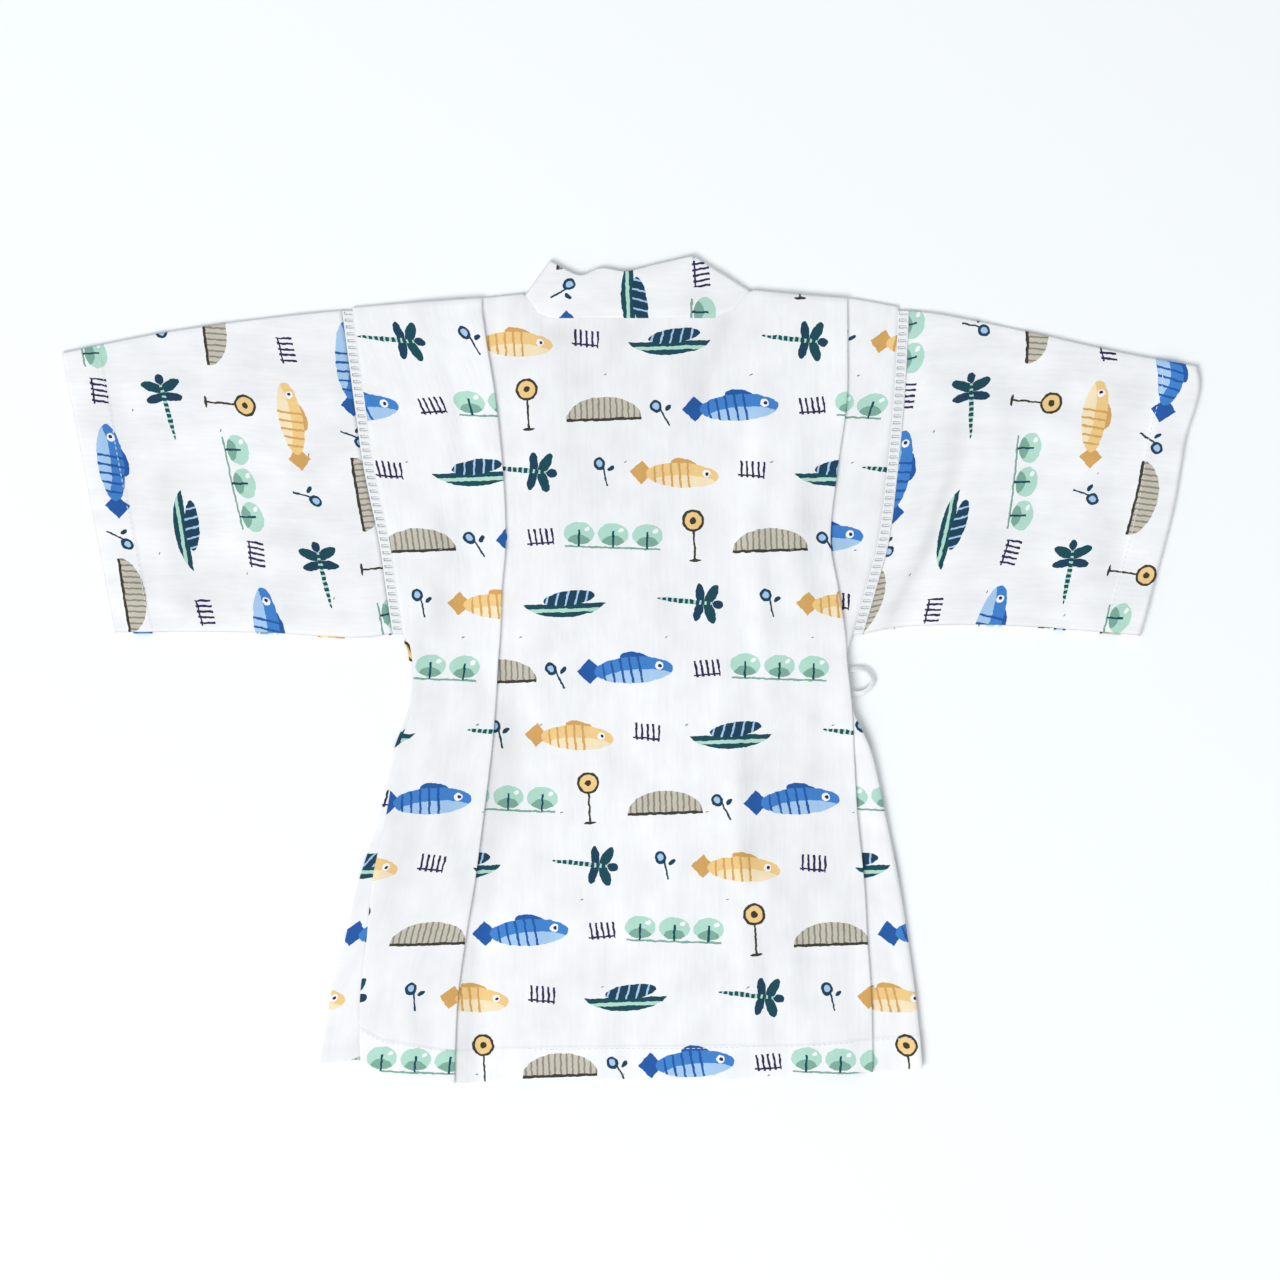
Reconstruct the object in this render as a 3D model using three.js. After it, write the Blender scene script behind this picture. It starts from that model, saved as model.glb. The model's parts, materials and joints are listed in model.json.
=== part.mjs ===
// Top of a toddler's jinbei laid flat face down, in millimetres, +Z up to the viewer.
// The outer front lies on the floor, the inner front on it and the back panel on both.
import * as THREE from 'three';

// Cloth and the room between two layers
const CLOTH = 1.0;
const GAP = 0.3;
const STEP = CLOTH + GAP;
const HALF = CLOTH / 2;
const TURN = STEP / 2;

// Back and fronts
const HEM_Y = -224;
const VENT_TOP_Y = 8;
const FRONT_EDGE_LEFT = 70;
const FRONT_EDGE_RIGHT = -50;
const COLLAR_END_Y = -76;
const UNDERLAP_SLOPE = { from: 71.5, to: 86 };

// Collar strip, folded double
const COLLAR_THICK = 1.6;
const COLLAR_WIDE = 27;
const COLLAR_BACK_Z = 2.8;
const COLLAR_FRONT_Z = COLLAR_THICK / 2;
const NECK_SLOPE = { from: 195, to: 140 };

// Ladder tape and ties
const LADDER_WIDE = 6;
const TIE_WIDE = 3.5;
const TIE_THICK = 1.0;
const TIE_LIFT = { bottom: -50, full: [-24, 8], top: 36 };

// Edges of the back panel at each height. left and right are its outer edges as seen,
// wrap is how far the outer front turns over on to the back at the left side.
// foldLeft and foldRight are the edges of the two knife folds, both facing right,
// and the depths are what each fold hides.
const BODY = [
  { y: 198, left: -151.8, wrap: 0.6, foldLeft: -80.8, depthLeft: 6, foldRight: 119.9, depthRight: 6, right: 146.9 },
  { y: 181, left: -149.6, wrap: 0.6, foldLeft: -78.4, depthLeft: 9, foldRight: 119.9, depthRight: 8, right: 146.3 },
  { y: 148, left: -145.2, wrap: 0.6, foldLeft: -73.2, depthLeft: 15, foldRight: 119.5, depthRight: 12, right: 144.4 },
  { y: 110, left: -139.7, wrap: 0.6, foldLeft: -69.3, depthLeft: 20, foldRight: 114.4, depthRight: 18, right: 140.8 },
  { y: 71, left: -131.5, wrap: 0.6, foldLeft: -67.7, depthLeft: 23, foldRight: 110.6, depthRight: 22, right: 135.9 },
  { y: 44, left: -127.6, wrap: 0.6, foldLeft: -69.8, depthLeft: 24, foldRight: 115, depthRight: 22, right: 128.7 },
  { y: 19, left: -123.8, wrap: 0.6, foldLeft: -70.7, depthLeft: 24, foldRight: 118.8, depthRight: 22, right: 121.5 },
  { y: 5, left: -121.6, wrap: 0.6, foldLeft: -71.8, depthLeft: 24, foldRight: 119.6, depthRight: 21, right: 117.6 },
  { y: -19, left: -121.6, wrap: 0.7, foldLeft: -73.2, depthLeft: 23, foldRight: 122.1, depthRight: 20, right: 120.5 },
  { y: -44, left: -130, wrap: 0.9, foldLeft: -75.4, depthLeft: 21, foldRight: 123.4, depthRight: 18, right: 131.5 },
  { y: -80, left: -137.8, wrap: 2.2, foldLeft: -79.8, depthLeft: 18, foldRight: 125.4, depthRight: 15, right: 139.7 },
  { y: -115, left: -149, wrap: 6, foldLeft: -84.4, depthLeft: 14, foldRight: 129, depthRight: 12, right: 146.9 },
  { y: -148, left: -156.8, wrap: 10.5, foldLeft: -89.7, depthLeft: 9, foldRight: 130.9, depthRight: 8, right: 152.1 },
  { y: -181, left: -165, wrap: 15, foldLeft: -94, depthLeft: 5, foldRight: 133.1, depthRight: 5, right: 156.5 },
  { y: -217, left: -170.5, wrap: 21, foldLeft: -95.7, depthLeft: 3, foldRight: 133.7, depthRight: 3, right: 160.1 },
];

// Shoulder line, neck dip and hem, as heights along the width
const SHOULDER = [
  { x: -155, y: 198 }, { x: -115, y: 201.3 }, { x: -80, y: 203.5 }, { x: -58, y: 205.7 },
  { x: 67, y: 207.9 }, { x: 94, y: 205.2 }, { x: 123, y: 203 }, { x: 151, y: 198 },
];
const NECK = [
  { x: -58, y: 205.7 }, { x: -51, y: 194.5 }, { x: -42, y: 192.5 }, { x: 46, y: 192.5 },
  { x: 58, y: 196.5 }, { x: 67, y: 207.9 },
];
const HEM = [
  { x: -171, y: -216 }, { x: -149, y: -214 }, { x: -136, y: -221 }, { x: -95, y: -227.2 },
  { x: -69, y: -225 }, { x: 60, y: -223.9 }, { x: 98, y: -223.3 }, { x: 161, y: -218.4 },
];

// Free edge of the collar behind the neck, its two peaks where it turns to the front
const COLLAR_TOP = [
  { x: -44.6, y: 224.4 }, { x: -36, y: 219.6 }, { x: -27, y: 216.2 }, { x: -16, y: 220 },
  { x: -2, y: 218.4 }, { x: 14, y: 222.2 }, { x: 36.3, y: 227.2 },
];
const NECK_LEFT = { x: -58, y: 205.7 };
const NECK_RIGHT = { x: 67, y: 207.9 };

// Cuffs, folded tops and closed undersides of the sleeves, from the armhole out
const ARMHOLE = { top: 198, bottom: 19 };
const SLEEVES = {
  left: {
    cuff: [[-312.4, 174.4], [-297.5, 98], [-282.7, 19.8]],
    fold: [[-201, 193.5], [-261.3, 184.8], [-312.4, 174.4]],
    closed: [[-148, 17], [-206.8, 19.8], [-282.7, 19.8]],
  },
  right: {
    cuff: [[311.3, 167.2], [313.2, 155.7], [305.2, 126.5], [298.7, 89.1], [280, 18.2]],
    fold: [[170.5, 195.8], [220, 185.9], [266.2, 175.5], [311.3, 167.2]],
    closed: [[146.3, 22.6], [202.4, 23.7], [280, 18.2]],
  },
};

// Middle lines of the two tape ties as they lie under the right side
const TIE_FRONT_LINE = [
  [72.4, -10], [92, -9.5], [108, -12], [121, -13.2], [129, -12], [133.6, -6.2], [130, -0.2],
  [122.5, 0.6], [112, -2.6], [105, -5],
];
const TIE_SIDE_LINE = [[115, -24], [108, -21.5], [101, -15.5]];

// Number of points along the swept walls
const BODY_ROWS = 28;
const SLEEVE_ROWS = 9;
const FLAT_STEPS = 7;
const TURN_STEPS = 4;

const CLOTH_WHITE = 0xf4f6f9;
const TAPE_WHITE = 0xfbfbf8;

const lerp = (a, b, t) => a + (b - a) * t;
const clamp01 = (t) => Math.min(1, Math.max(0, t));
const smooth = (t) => { const s = clamp01(t); return s * s * (3 - 2 * s); };
const slope = (value, { from, to }) => smooth((value - from) / (to - from));

// Smooth value of one column of a table at a place along another
function tableValue(table, along, key, at) {
  const rising = table[0][along] < table[table.length - 1][along];
  const rows = rising ? table : [...table].reverse();
  const last = rows.length - 1;
  if (at <= rows[0][along]) return rows[0][key];
  if (at >= rows[last][along]) return rows[last][key];
  const i = rows.findIndex((row) => row[along] > at) - 1;
  const tangent = (k) => {
    const a = rows[Math.max(0, k - 1)], b = rows[Math.min(last, k + 1)];
    return (b[key] - a[key]) / (b[along] - a[along]);
  };
  const p = rows[i], q = rows[i + 1], h = q[along] - p[along], t = (at - p[along]) / h;
  const t2 = t * t, t3 = t2 * t;
  return p[key] * (2 * t3 - 3 * t2 + 1) + tangent(i) * h * (t3 - 2 * t2 + t)
    + q[key] * (3 * t2 - 2 * t3) + tangent(i + 1) * h * (t3 - t2);
}
const body = (key, y) => tableValue(BODY, 'y', key, y);

// Straight-line value of a table, for edges with real corners
function cornerValue(table, x) {
  if (x <= table[0].x) return table[0].y;
  for (let i = 1; i < table.length; i++) {
    const a = table[i - 1], b = table[i];
    if (x <= b.x) return lerp(a.y, b.y, (x - a.x) / (b.x - a.x));
  }
  return table[table.length - 1].y;
}
const hemY = (x) => cornerValue(HEM, x);
const shoulderY = (x) => cornerValue(SHOULDER, x);
const backTopY = (x) => (x > NECK_LEFT.x && x < NECK_RIGHT.x
  ? cornerValue(NECK, x) - 2 * GAP : shoulderY(x));

// Seam of each front with its collar band
const seamLeftX = (y) => lerp(NECK_LEFT.x, FRONT_EDGE_LEFT,
  (NECK_LEFT.y - y) / (NECK_LEFT.y + 80));
const seamRightX = (y) => lerp(NECK_RIGHT.x, FRONT_EDGE_RIGHT,
  (NECK_RIGHT.y - y) / (NECK_RIGHT.y + 80));

// Room between a front and the collar strip, wider where the strip turns at the neck
const seamGap = (y) => GAP + clamp01((y - 190) / 12);

// Lift of the layers above the ties, and of the inner front over the outer one
function tieLift(x, y) {
  const { bottom, full, top } = TIE_LIFT;
  const along = y < full[0] ? smooth((y - bottom) / (full[0] - bottom))
    : 1 - smooth((y - full[1]) / (top - full[1]));
  return STEP * along * smooth((x - 68) / 14);
}
const underlap = (x, y) => 1.9 * slope(y, NECK_SLOPE) * (1 - slope(x, UNDERLAP_SLOPE));
const innerLift = (x, y) => Math.max(underlap(x, y), tieLift(x, y));

// A cloth wall from rows of middle points with the way each one faces
function wall(rows, half, ring = false) {
  const across = rows[0].length, position = [], index = [];
  for (const side of [1, -1]) {
    for (const row of rows) {
      for (const { p, n } of row) position.push(...p.map((c, k) => c + side * half * n[k]));
    }
  }
  const at = (side, i, j) => (side * rows.length + i) * across + (j % across);
  const quad = (a, b, c, d) => index.push(a, b, c, a, c, d);
  const columns = ring ? across : across - 1;
  for (let i = 0; i + 1 < rows.length; i++) {
    for (let j = 0; j < columns; j++) {
      quad(at(0, i, j), at(0, i, j + 1), at(0, i + 1, j + 1), at(0, i + 1, j));
      quad(at(1, i, j), at(1, i + 1, j), at(1, i + 1, j + 1), at(1, i, j + 1));
    }
    if (!ring) {
      quad(at(0, i, 0), at(0, i + 1, 0), at(1, i + 1, 0), at(1, i, 0));
      quad(at(0, i, columns), at(1, i, columns), at(1, i + 1, columns), at(0, i + 1, columns));
    }
  }
  for (let j = 0; j < columns; j++) {
    const end = rows.length - 1;
    quad(at(0, 0, j), at(1, 0, j), at(1, 0, j + 1), at(0, 0, j + 1));
    quad(at(0, end, j), at(0, end, j + 1), at(1, end, j + 1), at(1, end, j));
  }
  const geometry = new THREE.BufferGeometry();
  geometry.setAttribute('position', new THREE.Float32BufferAttribute(position, 3));
  geometry.setIndex(volumeOf(position, index) < 0 ? index.reverse() : index);
  geometry.computeVertexNormals();
  return geometry;
}

function volumeOf(position, index) {
  let volume = 0;
  const a = new THREE.Vector3(), b = new THREE.Vector3(), c = new THREE.Vector3();
  for (let i = 0; i < index.length; i += 3) {
    a.fromArray(position, 3 * index[i]);
    b.fromArray(position, 3 * index[i + 1]);
    c.fromArray(position, 3 * index[i + 2]);
    volume += a.dot(b.cross(c)) / 6;
  }
  return volume;
}

// Half turn of a fold seen along the garment, its edge facing right or left
function halfTurn(x, z, facing) {
  return Array.from({ length: TURN_STEPS + 1 }, (_, k) => {
    const angle = (Math.PI * k) / TURN_STEPS;
    const out = [facing * Math.sin(angle), Math.cos(angle)];
    return {
      x: x + TURN * out[0], z: z + TURN * out[1], nx: facing * out[0], nz: facing * out[1],
    };
  });
}
const flat = (x, z) => ({ x, z, nx: 0, nz: 1 });

// Section of the back panel at a height, from its left edge to its right edge
function backSection(y) {
  const left = body('left', y), right = body('right', y);
  const inset = y < ARMHOLE.bottom - 2 ? 2 * TURN + 2 * GAP + body('wrap', y) : 0;
  const foldLeft = body('foldLeft', y), foldRight = body('foldRight', y);
  const deepLeft = foldLeft - body('depthLeft', y);
  const deepRight = foldRight - body('depthRight', y);
  const low = STEP + HALF, middle = low + STEP, high = middle + STEP;
  const centre = lerp(COLLAR_BACK_Z - 0.2, high, slope(y, NECK_SLOPE));
  const edge = left + inset, crest = foldLeft - 2 * TURN;
  const section = [0, 0.15, 0.35, 0.6, 0.85].map((t) => flat(
    lerp(edge, crest, t), lerp(low, high, smooth(t * 1.15))));
  section.push(...halfTurn(crest, high - TURN, 1));
  section.push(...halfTurn(deepLeft, middle - TURN, -1));
  const riseFrom = foldLeft + 1, riseTo = NECK[1].x;
  const rise = [0, 0.33, 0.66, 1].map((t) => lerp(riseFrom, NECK_LEFT.x - 0.8, t));
  const flatPart = [riseTo, NECK[2].x, -20, 10, NECK[3].x, NECK[4].x, NECK_RIGHT.x + 0.8, 80, 92];
  for (const x of [...rise, ...flatPart]) {
    const risen = lerp(low, centre, smooth((x - riseFrom) / (riseTo - riseFrom)));
    section.push(flat(x, lerp(risen, high, smooth((x - 60) / 32))));
  }
  section.push(...halfTurn(foldRight - 2 * TURN, high - TURN, 1));
  section.push(...halfTurn(deepRight, middle - TURN, -1));
  for (const t of [0.45, 0.75, 1]) section.push(flat(lerp(deepRight, right, t), low));
  return section;
}

// Section of the outer front, from its front edge to the part turned over on to the back
function outerSection(y) {
  const left = body('left', y), wrap = body('wrap', y);
  const edge = y > -80 ? seamLeftX(y) - seamGap(y) : FRONT_EDGE_LEFT;
  const turned = Math.PI * Math.max(0.01, 1 - smooth((y - VENT_TOP_Y) / 6));
  const bend = turned / (Math.PI * TURN);
  const turn = Array.from({ length: TURN_STEPS + 1 }, (_, k) => {
    const angle = (turned * k) / TURN_STEPS;
    return { out: Math.sin(angle) / bend, up: (1 - Math.cos(angle)) / bend, angle };
  });
  const end = turn[TURN_STEPS];
  turn.push({
    out: end.out + wrap * Math.cos(turned), up: end.up + wrap * Math.sin(turned), angle: turned,
  });
  const reach = Math.max(...turn.map(({ out, angle }) => out + HALF * Math.sin(angle)));
  const start = left + reach;
  const section = Array.from({ length: FLAT_STEPS }, (_, k) => (
    { x: lerp(edge, start, k / FLAT_STEPS), z: HALF, nx: 0, nz: -1 }));
  for (const { out, up, angle } of turn) {
    section.push({ x: start - out, z: HALF + up, nx: -Math.sin(angle), nz: -Math.cos(angle) });
  }
  return section;
}

// Section of the inner front, from its front edge to the right side seam
function innerSection(y) {
  const edge = y > -80 ? seamRightX(y) + seamGap(y) : FRONT_EDGE_RIGHT;
  const right = body('right', y);
  const places = [UNDERLAP_SLOPE.from, 76, 81, UNDERLAP_SLOPE.to];
  const first = Math.max(edge, places[0] - 1);
  const columns = [0, 0.33, 0.66].map((t) => lerp(edge, Math.min(first, 67), t));
  const spread = edge > 64 ? places.map((_, k) => edge + 3.5 * (k + 1)) : places;
  for (const x of spread) columns.push(x);
  const from = spread[spread.length - 1];
  for (const t of [0.25, 0.5, 0.75, 1]) columns.push(lerp(from, right, t));
  return columns.map((x) => ({ x, z: HALF, nx: 0, nz: -1 }));
}

// Rows of a body panel between its top edge and the hem
function bodyRows(section, topY, lift) {
  const top = section(198), low = section(HEM_Y);
  return Array.from({ length: BODY_ROWS + 1 }, (_, i) => {
    const v = i / BODY_ROWS;
    return top.map((start, j) => {
      const y = lerp(topY(start.x), hemY(low[j].x), v);
      const { x, z, nx, nz } = section(y)[j];
      return { p: [x, y, z + lift(x, y)], n: [nx, 0, nz] };
    });
  });
}

// A flattened tube of cloth: lower layer on the floor, upper layer on it, open at both ends
function tubeRows(inner, outer, fold, closed, rows, puff) {
  const place = (s, f) => {
    const a = inner(f), b = outer(f);
    const top = fold(s), bottom = closed(s);
    const edge = (pick) => (1 - s) * pick(a) + s * pick(b)
      + (1 - f) * (pick(top) - lerp(pick(inner(0)), pick(outer(0)), s))
      + f * (pick(bottom) - lerp(pick(inner(1)), pick(outer(1)), s));
    return [edge((q) => q.x), edge((q) => q.y)];
  };
  return Array.from({ length: rows + 1 }, (_, i) => {
    const s = i / rows, ring = [];
    const [, yTop] = place(s, 0), [, yLow] = place(s, 1);
    const inset = (TURN + HALF) / (yTop - yLow);
    const share = (k) => lerp(inset, 1 - inset, k / FLAT_STEPS);
    for (let k = 0; k <= FLAT_STEPS; k++) {
      const [x, y] = place(s, share(k));
      ring.push({ p: [x, y, STEP + HALF + puff(s, share(k))], n: [0, 0, 1] });
    }
    for (const [at, sign] of [[1 - inset, -1], [inset, 1]]) {
      if (sign > 0) {
        for (let k = FLAT_STEPS; k >= 0; k--) {
          const [x, y] = place(s, share(k));
          ring.push({ p: [x, y, HALF], n: [0, 0, -1] });
        }
      }
      const [x, y] = place(s, at);
      for (let k = 1; k < TURN_STEPS; k++) {
        const angle = (Math.PI * k) / TURN_STEPS;
        const out = Math.sin(angle), up = -sign * Math.cos(angle);
        ring.push({ p: [x, y + sign * TURN * out, HALF + TURN + TURN * up], n: [0, sign * out, up] });
      }
    }
    return ring;
  });
}

// Curve through a few points, by share of its length
function through(points) {
  const curve = new THREE.CatmullRomCurve3(points.map(([x, y]) => new THREE.Vector3(x, y, 0)));
  return (t) => curve.getPointAt(clamp01(t));
}

// Ladder tape round an armhole, then the sleeve beyond it
function armPieces(side) {
  const outward = side === 'left' ? -1 : 1;
  const { cuff, fold, closed } = SLEEVES[side];
  const armhole = (beyond) => (f) => {
    const y = lerp(ARMHOLE.top, ARMHOLE.bottom, f);
    return { x: body(side, y) + outward * beyond, y };
  };
  const level = (a, b) => (s) => ({ x: lerp(a.x, b.x, s), y: lerp(a.y, b.y, s) });
  const near = armhole(GAP), far = armhole(GAP + LADDER_WIDE);
  const ladder = tubeRows(near, far, level(near(0), far(0)), level(near(1), far(1)), 1, () => 0);
  const start = armhole(2 * GAP + LADDER_WIDE);
  const from = (f, points) => through([[start(f).x, start(f).y], ...points]);
  const sleeve = tubeRows(start, through(cuff), from(0, fold), from(1, closed), SLEEVE_ROWS,
    (s, f) => 0.9 * Math.sin(Math.PI * f) * Math.sin(Math.PI * clamp01(s)) ** 0.7);
  return { ladder: wall(ladder, HALF, true), sleeve: wall(sleeve, HALF, true) };
}

// The collar strip: up the outer front, round behind the neck, down the inner front
function collarRows() {
  const rows = [], across = [0, 0.34, 0.67, 1];
  const bar = (a, b, z, n) => rows.push(across.map((t) => (
    { p: [lerp(a[0], b[0], t), lerp(a[1], b[1], t), z(lerp(a[0], b[0], t), lerp(a[1], b[1], t))], n })));
  const down = [0, 0, -1];
  const frontBar = (seamX, y, sign, limit, first) => {
    const seam = [seamX(y), y];
    const leaning = smooth((NECK_LEFT.y - y) / 30);
    const squareTo = [seam[0] + sign * 0.913 * COLLAR_WIDE, seam[1] + 0.408 * COLLAR_WIDE];
    const free = [lerp(seam[0] + first[0], squareTo[0], leaning),
      lerp(seam[1] + first[1], squareTo[1], leaning)];
    const room = sign * (limit - seam[0]) / (sign * (free[0] - seam[0]));
    const share = Math.min(1, room);
    return [seam, [lerp(seam[0], free[0], share), lerp(seam[1], free[1], share)]];
  };
  const inset = COLLAR_THICK / 2 + (COLLAR_BACK_Z - COLLAR_FRONT_Z) / 2;
  const turnRadius = (COLLAR_BACK_Z - COLLAR_FRONT_Z) / 2;
  const peak = (seam, free, way) => {
    const length = Math.hypot(free.x - seam.x, free.y - seam.y);
    const out = [way * (free.y - seam.y) / length, -way * (free.x - seam.x) / length];
    const a = [seam.x - out[0] * inset, seam.y - out[1] * inset];
    const b = [free.x - out[0] * inset, free.y - out[1] * inset];
    return { a, b, out };
  };
  const topLeft = COLLAR_TOP[0], topRight = COLLAR_TOP[COLLAR_TOP.length - 1];
  const left = peak(NECK_LEFT, topLeft, -1), right = peak(NECK_RIGHT, topRight, 1);
  const turn = ({ a, b, out }, from) => {
    for (let k = 0; k <= TURN_STEPS; k++) {
      const angle = (Math.PI * (from < 0 ? TURN_STEPS - k : k)) / TURN_STEPS;
      const o = Math.sin(angle), up = Math.cos(angle);
      const shift = [out[0] * turnRadius * o, out[1] * turnRadius * o];
      bar([a[0] + shift[0], a[1] + shift[1]], [b[0] + shift[0], b[1] + shift[1]],
        () => COLLAR_FRONT_Z + turnRadius * (1 + up), [out[0] * o, out[1] * o, up]);
    }
  };
  const firstLeft = [left.b[0] - left.a[0], left.b[1] - left.a[1]];
  const firstRight = [right.b[0] - right.a[0], right.b[1] - right.a[1]];
  const heights = [COLLAR_END_Y, -45, -10, 30, 70, 110, 140, 160, 178, 192];
  for (const y of heights) {
    const [a, b] = frontBar(seamLeftX, y, 1, FRONT_EDGE_LEFT, firstLeft);
    bar(a, b, () => COLLAR_FRONT_Z, down);
  }
  turn(left, -1);
  const backSeam = (x) => cornerValue(NECK, x);
  for (let k = 1; k < 12; k++) {
    const t = k / 12;
    const xTop = lerp(topLeft.x, topRight.x, t), xSeam = lerp(-52, 60, t);
    bar([xSeam, backSeam(xSeam)], [xTop, tableValue(COLLAR_TOP, 'x', 'y', xTop)],
      () => COLLAR_BACK_Z, [0, 0, 1]);
  }
  turn(right, 1);
  for (const y of [...heights].reverse()) {
    const [a, b] = frontBar(seamRightX, y, -1, FRONT_EDGE_RIGHT, firstRight);
    bar(a, b, (x, at) => COLLAR_FRONT_Z + 1.9 * slope(at, NECK_SLOPE), down);
  }
  return rows;
}

// A flat tape along a line on the floor
function tape(points, steps) {
  const line = Array.from({ length: steps + 1 }, (_, i) => through(points)(i / steps));
  return wall(line.map((q, i) => {
    const a = line[Math.max(0, i - 1)], b = line[Math.min(steps, i + 1)];
    const way = new THREE.Vector3().subVectors(b, a).normalize();
    return [-1, 1].map((s) => ({
      p: [q.x - s * way.y * TIE_WIDE / 2, q.y + s * way.x * TIE_WIDE / 2, TIE_THICK / 2],
      n: [0, 0, 1],
    }));
  }), TIE_THICK / 2);
}

const group = new THREE.Group();
group.name = 'jinbei_top';
function add(name, geometry, color) {
  const mesh = new THREE.Mesh(geometry,
    new THREE.MeshStandardMaterial({ color, roughness: 0.9, metalness: 0 }));
  mesh.name = name;
  group.add(mesh);
}

const backLift = (x, y) => tieLift(x, y);
add('back_panel', wall(bodyRows(backSection, backTopY, backLift), HALF), CLOTH_WHITE);
add('front_left', wall(bodyRows(outerSection, shoulderY, () => 0), HALF), CLOTH_WHITE);
add('front_right', wall(bodyRows(innerSection, shoulderY, innerLift), HALF), CLOTH_WHITE);
add('collar', wall(collarRows(), COLLAR_THICK / 2), CLOTH_WHITE);
for (const side of ['left', 'right']) {
  const { ladder, sleeve } = armPieces(side);
  add(`ladder_${side}`, ladder, TAPE_WHITE);
  add(`sleeve_${side}`, sleeve, CLOTH_WHITE);
}
add('tie_front', tape(TIE_FRONT_LINE, 30), TAPE_WHITE);
add('tie_side', tape(TIE_SIDE_LINE, 5), TAPE_WHITE);

export default group;
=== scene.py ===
"""Top of a toddler's jinbei laid flat face down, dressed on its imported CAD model.

Sizes are in millimetres, as in part.mjs, and become metres when a mesh is made.
"""
import json
import math

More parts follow.
